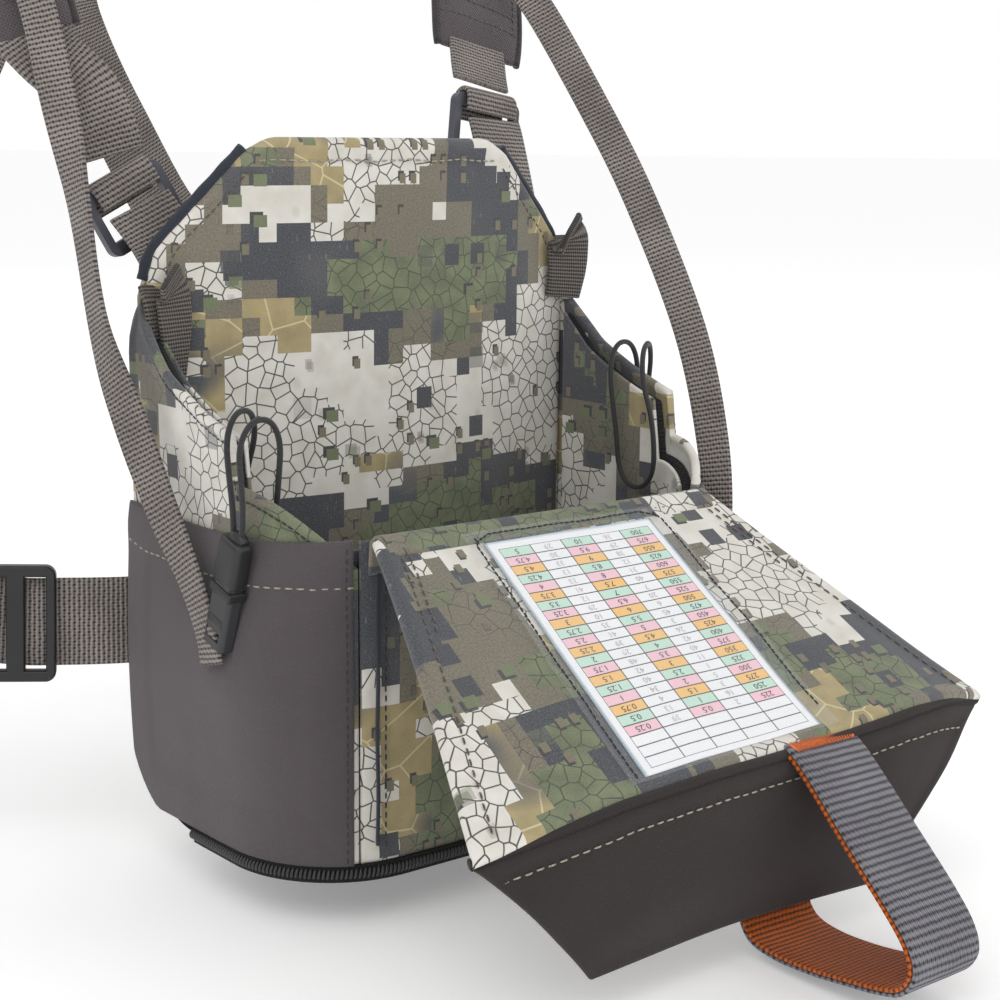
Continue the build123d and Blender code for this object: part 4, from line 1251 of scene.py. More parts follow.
def inflate(name, verts, faces, pressure, cap, material, pin=None):
    """Closed pad swelled by a short cloth simulation, kept within cap of its own shape."""
    obj = add_object(name, verts, faces, material)
    clean_normals(obj)
    bpy.context.view_layer.objects.active = obj
    remesh = obj.modifiers.new("remesh", "REMESH")
    remesh.mode = "VOXEL"
    remesh.voxel_size = VOXEL * MM
    apply_modifiers(obj)
    start = [v.co.copy() for v in obj.data.vertices]
    held = obj.vertex_groups.new(name="held")
    for v in obj.data.vertices:
        if pin and pin(design(v.co)):
            held.add([v.index], 1.0, "REPLACE")
    cloth = obj.modifiers.new("cloth", "CLOTH")
    s = cloth.settings
    s.use_pressure = True
    s.uniform_pressure_force = pressure
    s.effector_weights.gravity = 0.0
    s.quality = 4
    s.mass = 0.2
    s.tension_stiffness = 20.0
    s.compression_stiffness = 20.0
    s.bending_stiffness = 3.0
    if pin:
        s.vertex_group_mass = "held"
    cloth.collision_settings.use_collision = False
    cloth.point_cache.frame_start = 1
    cloth.point_cache.frame_end = CLOTH_FRAMES
    scene = bpy.context.scene
    for f in range(1, CLOTH_FRAMES + 1):
        scene.frame_set(f)
    dg = bpy.context.evaluated_depsgraph_get()
    got = [v.co.copy() for v in obj.evaluated_get(dg).to_mesh().vertices]
    obj.evaluated_get(dg).to_mesh_clear()
    obj.modifiers.clear()
    for v, a, b in zip(obj.data.vertices, start, got):
        move = b - a
        if move.length > cap * MM:
            move = move * (cap * MM / move.length)
        v.co = a + move
    scene.frame_set(1)
    sub = obj.modifiers.new("sub", "SUBSURF")
    sub.levels = 1
    sub.render_levels = 1
    apply_modifiers(obj)
    obj.data.polygons.foreach_set("use_smooth", [True] * len(obj.data.polygons))
    return obj


def apply_modifiers(obj):
    """Replaces the mesh by its evaluated one and leaves no modifier."""
    bpy.context.view_layer.update()
    dg = bpy.context.evaluated_depsgraph_get()
    mesh = bpy.data.meshes.new_from_object(obj.evaluated_get(dg))
    obj.modifiers.clear()
    old = obj.data
    obj.data = mesh
    bpy.data.meshes.remove(old)


def loft(rings):
    """Vertices and faces of a closed loft through rings of equal size."""
    return [p for ring in rings for p in ring], ring_faces(len(rings), len(rings[0]))


def rounded_rect(w, h, r, count):
    """Outline of a rectangle with round corners, count steps to a corner."""
    pts = []
    for cx, cz, a0 in ((w / 2 - r, h / 2 - r, 0), (-w / 2 + r, h / 2 - r, 90), (-w / 2 + r, -h / 2 + r, 180),
                       (w / 2 - r, -h / 2 + r, 270)):
        for k in range(count + 1):
            a = math.radians(a0 + 90 * k / count)
            pts.append((cx + r * math.cos(a), cz + r * math.sin(a)))
    return pts


CHEST_WIDTH, CHEST_HEIGHT, CHEST_CORNER = 110, 114, 16
CHANNELS = (-22.0, 22.0)  # heights of the pressed channels from the pad's middle


def chest_pad():
    """Mesh-covered pad that lies on the chest, with a bound edge and two pressed channels."""
    outline = rounded_rect(CHEST_WIDTH, CHEST_HEIGHT, CHEST_CORNER, 10)
    rings = []
    for share, inset in ((0.0, 0.6), (0.25, 0.0), (0.8, 0.0), (0.93, 0.9), (1.0, 2.6)):
        ring = []
        for x, z in outline:
            scale = 1 - inset / (CHEST_HEIGHT / 2)
            x2, z2 = x * scale, z * scale
            y0 = panel_y(x2, PANEL_RADIUS - PANEL_THICK) + 0.5
            y1 = CHEST_Y - 1.9
            ring.append((x2, y0 + (y1 - y0) * share, CHEST_Z + z2))
        rings.append(ring)
    verts, faces = loft(rings)
    pad = inflate("chest_cushion", verts, faces, 4.0, 1.6, "mesh",
                  pin=lambda p: p.y < panel_y(p.x, PANEL_RADIUS - PANEL_THICK) + 5)
    for v in pad.data.vertices:
        p = design(v.co)
        if p.y > 44:
            dip = max(math.exp(-((p.z - CHEST_Z - z) / 3.2) ** 2) for z in CHANNELS)
            reach = max(0.0, 1 - (abs(p.x) / 56) ** 6)
            v.co.y -= 2.6 * dip * reach * MM
    wear(pad, "pack", "spacer_mesh", "chest_pad")
    line = [Vector((x * 1.008, panel_y(x, PANEL_RADIUS - PANEL_THICK) + 1.6, CHEST_Z + z * 1.008))
            for x, z in outline + outline[:1]]
    edge = tube("chest_cushion_binding", line, 1.7, "pad_edge", up=(0, 1, 0))
    wear(edge, "pack", "pad_fabric")
    for k, z in enumerate(CHANNELS):
        line = [Vector((x, CHEST_Y - 3.4 - 0.0006 * x * x, CHEST_Z + z)) for x in range(-50, 51, 2)]
        stitches(f"chest_channel_stitch_{k}", line, lambda p: (0, 1, 0), "pack", "spacer_mesh",
                 "black_thread", pitch=2.8)


chest_pad()

PAD_ROUTES = {
    "left": [
        ((-88.2, 77.6, 216.0), (-0.3, -0.85, 0.45)), ((-93.0, 90.0, 238), (-0.3, -0.83, 0.45)),
        ((-97.0, 112.0, 271), (-0.3, -0.7, 0.65)), ((-98.0, 143.0, 300), (-0.22, -0.35, 0.9)),
        ((-95.0, 182.0, 314), (-0.2, 0.1, 0.97)), ((-86.0, 220.0, 309), (-0.15, 0.5, 0.85)),
        ((-70.0, 246.0, 290), (-0.1, 0.85, 0.5)), ((-50.0, 258.6, 268), (0, 1, 0.05)),
    ],
    "right": [
        ((70.4, 79.9, 216.6), (-0.1, -0.88, 0.45)), ((79.0, 92.0, 240), (0.1, -0.85, 0.5)),
        ((88.0, 114.0, 272), (0.2, -0.7, 0.65)), ((94.0, 143.0, 300), (0.22, -0.35, 0.9)),
        ((94.0, 182.0, 314), (0.2, 0.1, 0.97)), ((86.0, 220.0, 309), (0.15, 0.5, 0.85)),
        ((70.0, 246.0, 290), (0.1, 0.85, 0.5)), ((50.0, 258.6, 268), (0, 1, 0.05)),
    ],
}
PAD_WIDTHS = [29.0, 36.0, 44.0, 48.0, 50.0, 50.0, 46.0, 40.0]


def shoulder_pads():
    """Padded yokes over the shoulders: crowned in section, hemmed at both ends, bound along both sides."""
    cols = 17
    for side, route in PAD_ROUTES.items():
        line = stations(route, PAD_WIDTHS, 10)
        count = len(line)
        total = line[-1][4]
        uvs = []
        edges = {-1: [], 1: []}
        inner = {-1: [], 1: []}
        top_rows, low_rows = [], []
        for at, across, out, w, run in line:
            near_end = min(run, total - run)
            end_thin = min(1.0, 0.22 + near_end / 12)
            wrinkle = 0.35 * math.sin(run * 0.21) * math.sin(run * 0.043)
            top, low = [], []
            for k in range(cols):
                t = -1 + 2 * k / (cols - 1)
                rim = 1 - abs(t) ** 4
                hem = 0.35 if near_end < 8 else 0.0
                high = (0.55 + 1.9 * rim * end_thin - hem * 0.3) + wrinkle * (1 - t * t)
                if abs(t) == 1:
                    high = 0.12
                top.append(at + across * (t * w / 2) + out * high)
                low.append(at + across * (t * w / 2) - out * (high * 0.8))
                uvs.append((t * w / 2, run))
            top_rows.append(top)
            low_rows.append(low)
            for s in (-1, 1):
                edges[s].append(at + across * (s * w / 2))
                if 9 < run < total - 6:
                    inner[s].append(at + across * (s * (w / 2 - 3.6)) + out * 1.75)
        verts = [p for r in top_rows for p in r] + [p for r in low_rows for p in r]
        n = count * cols
        faces = []
        for i in range(count - 1):
            for k in range(cols - 1):
                a = i * cols + k
                faces.append((a, a + 1, a + cols + 1, a + cols))
                faces.append((n + a + cols, n + a + cols + 1, n + a + 1, n + a))
        for i in range(count - 1):
            for k in (0, cols - 1):
                a, b = i * cols + k, (i + 1) * cols + k
                faces.append((a, b, n + b, n + a))
        for i in (0, count - 1):
            for k in range(cols - 1):
                a, b = i * cols + k, i * cols + k + 1
                faces.append((b, a, n + a, n + b))
        obj = clean_normals(add_object(f"shoulder_cushion_{side}", verts, faces, "pad", uvs + uvs))
        wear(obj, "pack", "pad_fabric", f"shoulder_pad_{side}")

        def face(p):
            return min(line, key=lambda station: (station[0] - p).length_squared)[2]

        for s, tag in ((-1, "in"), (1, "out")):
            bind = tube(f"shoulder_binding_{side}_{tag}", edges[s], 1.15, "pad_edge", sides=8)
            wear(bind, "pack", "pad_fabric")
            stitches(f"shoulder_stitch_{side}_{tag}", inner[s], face, "pack", "pad_fabric", "dark_thread",
                     pitch=2.8)
        for k, index in enumerate((5, 7)):
            a, b = top_rows[index][1], top_rows[index][-2]
            out = line[index][2]
            hem = [a.lerp(b, t / 20) + out * (1.2 * (1 - (2 * t / 20 - 1) ** 4)) for t in range(21)]
            stitches(f"shoulder_hem_stitch_{side}_{k}", hem, lambda p: out, "pack", "pad_fabric",
                     "dark_thread", pitch=2.0, length=1.5)


shoulder_pads()

YOKE_Y, YOKE_Z = 261.2, 270
YOKE_OUTLINE = [(-63.5, 272), (-57, 278), (-34, 297), (-26, 299.4), (26, 299.4), (34, 297), (57, 278),
                (63.5, 272), (57, 262), (47, 251), (36, 244), (27, 241.6), (-27, 241.6), (-36, 244),
                (-47, 251), (-57, 262)]


def back_yoke():
    """Plate below the neck that gathers the pads and the chest straps."""
    pts = catmull([Vector((x, 0, z)) for x, z in YOKE_OUTLINE + YOKE_OUTLINE[:1]], 4)[:-1]
    rings = []
    for lift, pull in ((0.4, 0.965), (1.2, 0.99), (3.6, 0.99), (4.4, 0.955)):
        rings.append([Vector((p.x * pull, YOKE_Y + lift, YOKE_Z + (p.z - YOKE_Z) * pull)) for p in pts])
    verts, faces = loft(rings)
    obj = inflate("yoke_cushion", verts, faces, 3.0, 1.4, "pad")
    layer = obj.data.uv_layers.new(name="cut")
    for poly in obj.data.polygons:
        for li in poly.loop_indices:
            co = obj.data.vertices[obj.data.loops[li].vertex_index].co
            layer.data[li].uv = (co.x, co.z)
    wear(obj, "pack", "pad_fabric", "back_yoke")
    line = [Vector((p.x * 0.975, YOKE_Y + 2.4, YOKE_Z + (p.z - YOKE_Z) * 0.955)) for p in pts + pts[:1]]
    edge = tube("yoke_binding", line, 2.0, "pad_edge", up=(0, 1, 0))
    wear(edge, "pack", "pad_fabric")


back_yoke()

# ---- webbing ----
SHOULDER_WEB, SIDE_WEB, TETHER_WEB = 20.0, 25.0, 10.0
WEB_THICK, TETHER_THICK = 1.6, 1.5
ANCHOR_ROUTES = {
    "left": [
        ((-60.0, 45.4, 147.5), (0, -1, 0.1)), ((-60.6, 46.4, 152), (0, -1, 0.25)),
        ((-62.0, 50.5, 161), (-0.2, -0.9, 0.45)), ((-66.0, 57.6, 171), (-0.3, -0.85, 0.5)),
    ],
    "right": [
        ((60.0, 45.4, 147.5), (0, -1, 0.1)), ((60.4, 46.8, 156), (0, -1, 0.2)),
        ((61.2, 50.5, 170), (0, -0.95, 0.3)), ((62.2, 58.0, 189), (0, -0.92, 0.38)),
        ((62.8, 61.4, 195.5), (0, -0.9, 0.4)),
    ],
}
BAR = {
    "left": (Vector((-68.6, 63.4, 176.6)), Vector((0.89, 0.0, 0.455)), Vector((-0.02, -0.12, -0.9))),
    "right": (Vector((63.2, 66.2, 200.6)), Vector((0.985, 0.0, -0.17)), Vector((0.0, -0.1, -0.95))),
}
WEB_ROUTES = {
    "left": [
        ((-70.4, 66.2, 184.5), (-0.35, -0.9, 0.3)), ((-73.4, 65.6, 193), (-0.35, -0.9, 0.3)),
        ((-77.5, 67.5, 203), (-0.3, -0.9, 0.35)), ((-84.5, 73.6, 211.5), (-0.3, -0.9, 0.4)),
        ((-89.4, 79.4, 219), (-0.3, -0.85, 0.45)),
    ],
    "right": [
        ((64.6, 70.4, 207.0), (-0.1, -0.92, 0.38)), ((66.8, 74.4, 211.5), (-0.1, -0.9, 0.4)),
        ((70.6, 80.6, 219.5), (-0.1, -0.88, 0.45)),
    ],
}
SIDE_ROUTE = [
    ((-61.0, 43.9, 56.0), (0.2, -1, 0)), ((-70.0, 46.6, 56.0), (-0.25, -0.97, 0)),
    ((-79.0, 49.6, 56.0), (-0.4, -0.9, 0)), ((-92.0, 55.4, 56.4), (-0.45, -0.9, 0)),
    ((-106.0, 63.6, 57.0), (-0.55, -0.85, 0)), ((-124.0, 79.0, 60.0), (-0.75, -0.65, 0)),
    ((-140.0, 108.0, 67.0), (-0.95, -0.3, 0)), ((-147.0, 145.0, 79.0), (-1, 0, 0)),
    ((-142.0, 186.0, 96.0), (-0.95, 0.3, 0)), ((-122.0, 224.0, 116.0), (-0.7, 0.7, 0)),
    ((-92.0, 248.0, 134.0), (-0.4, 0.9, 0)), ((-62.0, 258.0, 152.0), (-0.1, 1, 0)),
    ((-36.0, 259.6, 194.0), (0, 1, 0)), ((-17.0, 259.6, 232.0), (0, 1, 0)),
    ((-14.0, 259.6, 256.0), (0, 1, 0)),
]
FACE = (-0.62, -0.76, 0.18)  # way the tethers look where they hang free
TETHER_ROUTES = {
    "left": [
        ((-92.6, 83.6, 243.0), FACE), ((-89.0, 72.6, 229.0), FACE),
        ((-86.6, 64.2, 200.4), FACE), ((-85.6, 55.6, 173.0), (-0.95, -0.1, 0.1)),
        ((-86.8, 43.4, 138.8), (-0.96, 0.0, 0.15)), ((-87.0, 27.4, 116.2), (-0.8, -0.5, 0.2)),
        ((-85.6, 13.6, 94.2), (-0.9, -0.4, 0.2)), ((-84.2, 2.6, 77.8), (-1, -0.1, 0.1)),
        ((-83.4, -3.8, 65.0), (-1, 0, 0)), ((-83.2, -6.4, 56.0), (-1, 0, 0)),
    ],
    "right": [
        ((81.0, 83.6, 246.0), FACE), ((84.0, 68.0, 233.8), FACE),
        ((86.0, 41.6, 202.2), FACE), ((88.0, 19.6, 171.5), FACE),
        ((88.4, -3.6, 132.8), (-0.7, -0.7, 0.15)), ((86.8, -16.2, 100.5), (-0.8, -0.55, 0.2)),
        ((84.8, -21.2, 74.6), (-1, -0.3, 0)), ((83.6, -19.6, 62.0), (-1, 0, 0)),
    ],
}
CLIPS = {
    "left": (Vector((-81.7, -7.6, 61.5)), Vector((-81.3, -16.8, 90.5))),
    "right": (Vector((82.0, -14.8, 68.0)), Vector((81.7, 8.2, 89.0))),
}


def straps():
    """The harness's flat webbing and the tethers."""
    for side, sign in SIDES.items():
        obj = strap(f"anchor_strap_{side}", ANCHOR_ROUTES[side], SHOULDER_WEB, WEB_THICK, "webbing")
        wear(obj, "pack", "webbing", f"anchor_webbing_{side}")
        obj = strap(f"upper_strap_{side}", WEB_ROUTES[side], SHOULDER_WEB, WEB_THICK, "webbing", waver=0.5)
        wear(obj, "pack", "webbing", f"shoulder_webbing_{side}")
        route = [((-sign * p[0], p[1], p[2]), (-sign * f[0], f[1], f[2])) for p, f in SIDE_ROUTE]
        obj = strap(f"chest_strap_{side}", route, SIDE_WEB, WEB_THICK, "webbing", waver=0.4)
        wear(obj, "pack", "webbing", f"side_strap_{side}")
        obj = strap(f"tether_strap_{side}", TETHER_ROUTES[side], TETHER_WEB, TETHER_THICK, "webbing",
                    waver=0.3)
        wear(obj, "pack", "webbing", f"tether_webbing_{side}")


def webbing_folds():
    """Doubled webbing round each buckle's bar."""
    for side, (centre, across, down) in BAR.items():
        across, down = across.normalized(), down.normalized()
        normal = across.cross(-down).normalized()
        up = normal.cross(across).normalized()
        reach = 2.7 + WEB_THICK / 2
        section = ((-reach, -3.6), (-reach, -1.2), (-reach * 0.92, 1.2), (-reach * 0.6, 2.8), (0, reach),
                   (reach * 0.6, 2.8), (reach * 0.92, 1.2), (reach, -1.2), (reach, -3.6), (reach, -5.6))
        route = [(centre - normal * x + up * z, up * max(0.0, z) - normal * x) for x, z in section]
        obj = strap(f"buckle_fold_{side}", route, SHOULDER_WEB, WEB_THICK, "webbing", steps=4)
        wear(obj, "pack", "webbing", f"webbing_fold_{side}")


straps()
webbing_folds()

# ---- lid ----
HINGE_Y, HINGE_Z = -41.5, 91.5
RIDGE_Y, RIDGE_Z = -120.5, 42.5
LID_LENGTH = math.hypot(RIDGE_Y - HINGE_Y, RIDGE_Z - HINGE_Z)
LID_DIR = Vector((0, (RIDGE_Y - HINGE_Y) / LID_LENGTH, (RIDGE_Z - HINGE_Z) / LID_LENGTH))
LID_UP = Vector((0, LID_DIR.z, -LID_DIR.y))


def lid_half(v):
    """Half of the lid's width at distance v from the hinge."""
    return LID_NEAR_HALF + (LID_FAR_HALF - LID_NEAR_HALF) * v / LID_LENGTH


# The far edge's height over the lid's plane, by place across.
RIDGE_SHAPE = [(-90, -11.0), (-83, -9.4), (-61, -4.6), (-44, -0.6), (-18, 1.4), (8, 2.0), (31, 3.2),
               (53, 5.6), (68, 5.6), (83, 2.6), (90, 1.0)]


def ridge_rise(x):
    """Height of the far edge at x, straight between RIDGE_SHAPE's points."""
    x = max(RIDGE_SHAPE[0][0], min(RIDGE_SHAPE[-1][0], x))
    for (x0, h0), (x1, h1) in zip(RIDGE_SHAPE, RIDGE_SHAPE[1:]):
        if x <= x1:
            break
    t = (x - x0) / (x1 - x0)
    return h0 + (h1 - h0) * t


def lid_rise(x, v):
    """Height of the lid over its plane: an arch that droops at the left far corner and lifts at the right."""
    share = max(0.0, v / LID_LENGTH)
    half = LID_NEAR_HALF + (LID_FAR_HALF - LID_NEAR_HALF) * min(1.0, share)
    across = x / half * LID_FAR_HALF
    return ridge_rise(across) * share**1.7 + 0.7 * noise.noise(Vector((x * 0.03, v * 0.03, 4.0))) * share


def lid_at(x, v, up):
    """Point of the lid at x, at distance v from the hinge and up over its middle surface."""
    base = Vector((x, HINGE_Y, HINGE_Z)) + LID_DIR * v
    return base + LID_UP * (up + lid_rise(x, v))


def upwards(p):
    """Way the lid looks."""
    return LID_UP


def lid():
    """Printed lid, a thin padded sheet with hemmed edges and two rows of stitches at each side."""
    end = LID_LENGTH + 0.6
    us = [-1, -0.9985, -0.995, -0.988, -0.975, -0.955, -0.93]
    us += [-0.9 + 1.8 * k / 48 for k in range(49)]
    us += [0.93, 0.955, 0.975, 0.988, 0.995, 0.9985, 1]
    vs = ramp(1.0, end, 2.4)

    def surface(u, v):
        return lid_at(u * lid_half(v), v, 0.0)

    def edge(u, v):
        return min((1 - abs(u)) * lid_half(v), v - 1.0, end - v)

    obj = sheet_mesh("lid_sheet", surface, us, vs, rolled(3.0, 4.0, 4.2, 1.4), "camo", edge,
                     uv_of=lambda u, v: (u * lid_half(v) + 210, v))
    wear(obj, "lid", "camo_fabric", "lid_panel", "lid_stiffener")
    for side, sign in SIDES.items():
        for k, inset in enumerate((5.6, 8.2)):
            stop = LID_LENGTH - 3 if k == 0 else 34
            line = [lid_at(sign * (lid_half(v) - inset), v, 1.75) for v in ramp(4, stop, 4)]
            stitches(f"lid_edge_stitch_{side}_{k}", line, upwards, "lid", "camo_fabric", "dark_thread",
                     pitch=3.0, length=2.0)
    line = [lid_at(x, 5.6, 1.8) for x in range(-50, 51, 3)]
    stitches("lid_hinge_stitch", line, upwards, "lid", "camo_fabric", "dark_thread", pitch=3.0)


def hinge_cloth():
    """Strip of the front wall's cloth that turns over into the lid."""
    us = ramp(-LID_NEAR_HALF + 0.5, LID_NEAR_HALF - 0.5, 3.0)
    path = catmull([(0, -38.6, 82.0), (0, -39.0, 87.0), (0, -39.6, 90.6), (0, -42.2, 92.2), (0, -45.2, 90.6),
                    (0, -48.4, 88.2)], 5)

    def surface(u, v):
        return (u, path[v].y - 0.8, path[v].z)

    run = [0.0]
    for a, b in zip(path, path[1:]):
        run.append(run[-1] + (b - a).length)
    obj = sheet_mesh("hinge_cloth", surface, us, range(len(path)), 1.2, "camo",
                     edge=lambda u, v: min(LID_NEAR_HALF - 0.5 - abs(u), run[v], run[-1] - run[v]),
                     uv_of=lambda u, v: (u + 40, run[v] + 60))
    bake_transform(obj)


LID_TOP = 1.5  # height of the lid's face over its middle surface
FILM_WIDTH = 68.0


def chart():
    """Printed card, its numbers, and the clear film over them."""
    def window(near, far, v0, v1, up, wave):
        """Surface on the lid from v0 to v1, between two edges that may run askew."""
        def surface(u, v):
            t = (v - v0) / (v1 - v0)
            x0 = near[0] + (far[0] - near[0]) * t
            x1 = near[1] + (far[1] - near[1]) * t
            x = x0 + (x1 - x0) * u
            ripple = wave * noise.noise(Vector((x * 0.05, v * 0.045, 7.0)))
            return lid_at(x, v, up + ripple)
        return surface

    card_v0, card_v1 = 9.0, 89.6
    card = window((-29, 29), (-35, 23), card_v0, card_v1, LID_TOP + 0.55, 0.25)
    us = [k / 40 for k in range(41)]
    vs = ramp(card_v0, card_v1, 2.5, fine=(0.0, 0.3, 1.0))
    obj = sheet_mesh("chart_sheet", card, us, vs, 0.4, "card",
                     edge=lambda u, v: min(u * CARD_WIDTH, (1 - u) * CARD_WIDTH, v - card_v0, card_v1 - v),
                     uv_of=lambda u, v: (u * CARD_WIDTH, v - card_v0))
    wear(obj, "lid", "chart_card", "chart_card")
    digits(card, card_v0)
    v0, v1 = 5.0, 91.0
    film = window((-34, 34), (-40, 28), v0, v1, LID_TOP + 1.1, 0.7)
    us = [0, 0.003, 0.01] + [k / 36 for k in range(1, 36)] + [0.99, 0.997, 1]
    vs = ramp(v0, v1, 2.4, fine=(0.0, 0.25, 0.8))
    obj = sheet_mesh("window_sheet", film, us, vs, 0.35, "film",
                     edge=lambda u, v: min(u * FILM_WIDTH, (1 - u) * FILM_WIDTH, v - v0, v1 - v),
                     uv_of=lambda u, v: (u * FILM_WIDTH, v))
    wear(obj, "lid", "clear_film", "window_film")
    corners = ((0.0, v1 - 2), (0.0, v0 + 6), (0.02, v0 + 2), (0.09, v0), (0.91, v0), (0.98, v0 + 2),
               (1.0, v0 + 6), (1.0, v1 - 2))
    inset = 0.03
    line = []
    for (u0, w0), (u1, w1) in zip(corners, corners[1:]):
        for k in range(20):
            t = k / 20
            u = inset + (u0 + (u1 - u0) * t) * (1 - 2 * inset)
            v = w0 + (w1 - w0) * t
            v += inset * 60 if v < v0 + 3 else 0
            line.append(Vector(film(u, v)) + LID_UP * 0.25)
    stitches("window_stitch_a", line, upwards, "lid", "camo_fabric", "black_thread", pitch=1.9, size=0.3,
             lift=0.05)


def digits(card, v0):
    """Generic numbers of the table, from the built-in font, upside down seen from the front. The numbers in
    the plain columns are printed fainter."""
    rng = random.Random(11)
    meshes = {}
    made = {"digit": ([], []), "faint_digit": ([], [])}
    for line in range(CARD_ROWS):
        for col in range(CARD_COLUMNS):
            number = CARD_ROWS - line
            text = {0: f"{0.25 * number:g}", 2: f"{0.5 * number:g}", 4: f"{200 + 25 * number}"}.get(col)
            text = text or f"{rng.randint(1, 48)}"
            if text not in meshes:
                meshes[text] = label_mesh(text)
            points, polys = meshes[text]
            verts, faces = made["faint_digit" if col % 2 else "digit"]
            base = len(verts)
            cx = CARD_MARGIN + (col + 0.5) * CARD_COLUMN
            cv = CARD_MARGIN + (line + 0.5) * CARD_ROW
            for p in points:
                q = Vector(card((cx - p.x * 2.7) / CARD_WIDTH, v0 + cv + p.y * 2.5))
                verts.append(q + LID_UP * 0.26)
            faces += [tuple(base + i for i in poly) for poly in polys]
    for material, (verts, faces) in made.items():
        wear(add_object(f"chart_{material}", verts, faces, material), "lid", "chart_card")


def label_mesh(text):
    """Points and faces of a text in the built-in font, one unit high."""
    font = bpy.data.curves.new("label", "FONT")
    font.body = text
    font.size = 1.0
    font.align_x = "CENTER"
    font.align_y = "CENTER"
    font.resolution_u = 2
    tmp = bpy.data.objects.new("label", font)
    bpy.context.scene.collection.objects.link(tmp)
    bpy.context.view_layer.update()
    mesh = bpy.data.meshes.new_from_object(tmp.evaluated_get(bpy.context.evaluated_depsgraph_get()))
    got = [v.co.copy() for v in mesh.vertices], [tuple(p.vertices) for p in mesh.polygons]
    bpy.data.meshes.remove(mesh)
    bpy.data.objects.remove(tmp)
    bpy.data.curves.remove(font)
    return got


lid()
hinge_cloth()
chart()

# ---- flap ----
FLAP_TOP = Vector((0, RIDGE_Y - 0.6, RIDGE_Z - LID_CROWN / 2 - 3.6))
FLAP_LOW = Vector((0, -115.6, 0.8))
FLAP_BOTTOM_HALF = 48.6


def flap_point(u, v):
    """u from -1 to 1 across, v from 0 at the fold to 1 at the free edge."""
    x = u * (LID_FAR_HALF + (FLAP_BOTTOM_HALF - LID_FAR_HALF) * v ** 0.9)
    ridge = lid_at(u * LID_FAR_HALF, LID_LENGTH, 0.0)
    top = Vector((x, ridge.y - 1.6, ridge.z - 1.0))
    low = Vector((x, FLAP_LOW.y, FLAP_LOW.z + 1.2 * math.cos(u * 2.2) - 1.0))
    p = top.lerp(low, v)
    arch = math.sin(math.pi * v)
    bow = 2.6 * arch + 1.6 * noise.noise(Vector((x * 0.03, v * 2.0, 2.0))) * arch
    p.y -= bow - 3.4 * max(0.0, abs(u) - 0.6) * (1 - v) * 2
    return p


def flap():
    """Dark flap that hangs from the lid's far edge, with a hem and a rolled top."""
    us = [-1, -0.997, -0.99, -0.98, -0.965, -0.945]
    us += [-0.92 + 1.84 * k / 50 for k in range(51)]
    us += [0.945, 0.965, 0.98, 0.99, 0.997, 1]
    vs = [0, 0.004, 0.012, 0.025, 0.045, 0.07, 0.1] + [0.1 + 0.85 * k / 18 for k in range(1, 18)]
    vs += [0.955, 0.97, 0.982, 0.99, 0.996, 1.0]
    height = (FLAP_TOP - FLAP_LOW).length + 6

    def edge(u, v):
        return min((1 - abs(u)) * 66, v * height, (1 - v) * height)

    def thick(d):
        return 2.9 + (1.9 - 2.9) * clamp((d - 2.4) / 1.6)

    obj = sheet_mesh("flap_sheet", flap_point, us, vs, thick, "flap", edge,
                     uv_of=lambda u, v: (u * (83 - 34 * v), v * height))
    wear(obj, "flap", "flap_fabric", "flap_panel", "flap_magnets")
    line = [flap_point(-0.97 + 1.94 * k / 60, 0.13) + Vector((0, -1.15, 0.0)) for k in range(61)]
    stitches("flap_top_stitch", line, lambda p: (0, -1, 0.1), "flap", "flap_fabric", pitch=3.0, length=2.0,
             size=0.24)
    ridge = [flap_point(-0.995 + 1.99 * k / 70, 0.0) + Vector((0, 0.5, 0.6)) for k in range(71)]
    obj = tube("flap_roll", ridge, lambda t: 1.5 + 0.5 * max(0.0, t - 0.9) * 10, "flap", sides=12)
    wear(obj, "flap", "flap_fabric")


flap()

# ---- grab loop ----
LOOP_X = 19.6
LOOP_ROUTE = [
    (-119.8, 45.4), (-125.4, 43.4), (-133.0, 37.0), (-144.0, 26.6), (-156.0, 15.6), (-162.8, 8.0),
    (-164.6, 1.8), (-161.2, -3.2), (-154.6, -5.2), (-145.0, -6.6), (-134.0, -8.0), (-122.0, -8.4),
    (-113.5, -6.6), (-109.6, -1.0), (-109.2, 8.0),
]


def grab_loop():
    """Ribbon loop of two colours, sewn to the flap with a zigzag and bent across the joint between them."""
    route = []
    last = len(LOOP_ROUTE) - 1
    for i, (y, z) in enumerate(LOOP_ROUTE):
        y0, z0 = LOOP_ROUTE[max(i - 1, 0)]
        y1, z1 = LOOP_ROUTE[min(i + 1, last)]
        look = Vector((0, z1 - z0, -(y1 - y0))).normalized()
        drift = -0.8 * math.sin(math.pi * i / last)
        route.append((Vector((LOOP_X + drift, y, z)), look))
    outer = [(p + n * 0.55, n) for p, n in route]
    inner = [(p - n * 0.6, n) for p, n in route]
    for name, line, width, material, slot_name, node in (
        ("loop_outer", outer, 24.0, "loop_web", "webbing", "grab_loop_webbing"),
        ("loop_inner", inner, 24.6, "loop_orange", "orange_webbing", "grab_loop_lining"),
    ):
        obj = strap(name, line, width, 1.1, material, waver=0.3)
        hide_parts(node)
        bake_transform(obj)
    a, b = outer[0][0], outer[1][0]
    n = (outer[0][1] + outer[1][1]).normalized()
    along = (b - a).normalized()
    line = []
    for k in range(46):
        t = k / 45
        zig = 1 if k % 2 else -1
        line.append(a + along * (3.4 + 1.5 * zig) + Vector((-10.2 + 20.4 * t, 0, 0)) + n * 0.95)
    obj = tube("loop_zigzag", line, 0.42, "orange_thread", sides=6, up=n)
    wear(obj, "flap", "orange_thread", "loop_bartack")


grab_loop()

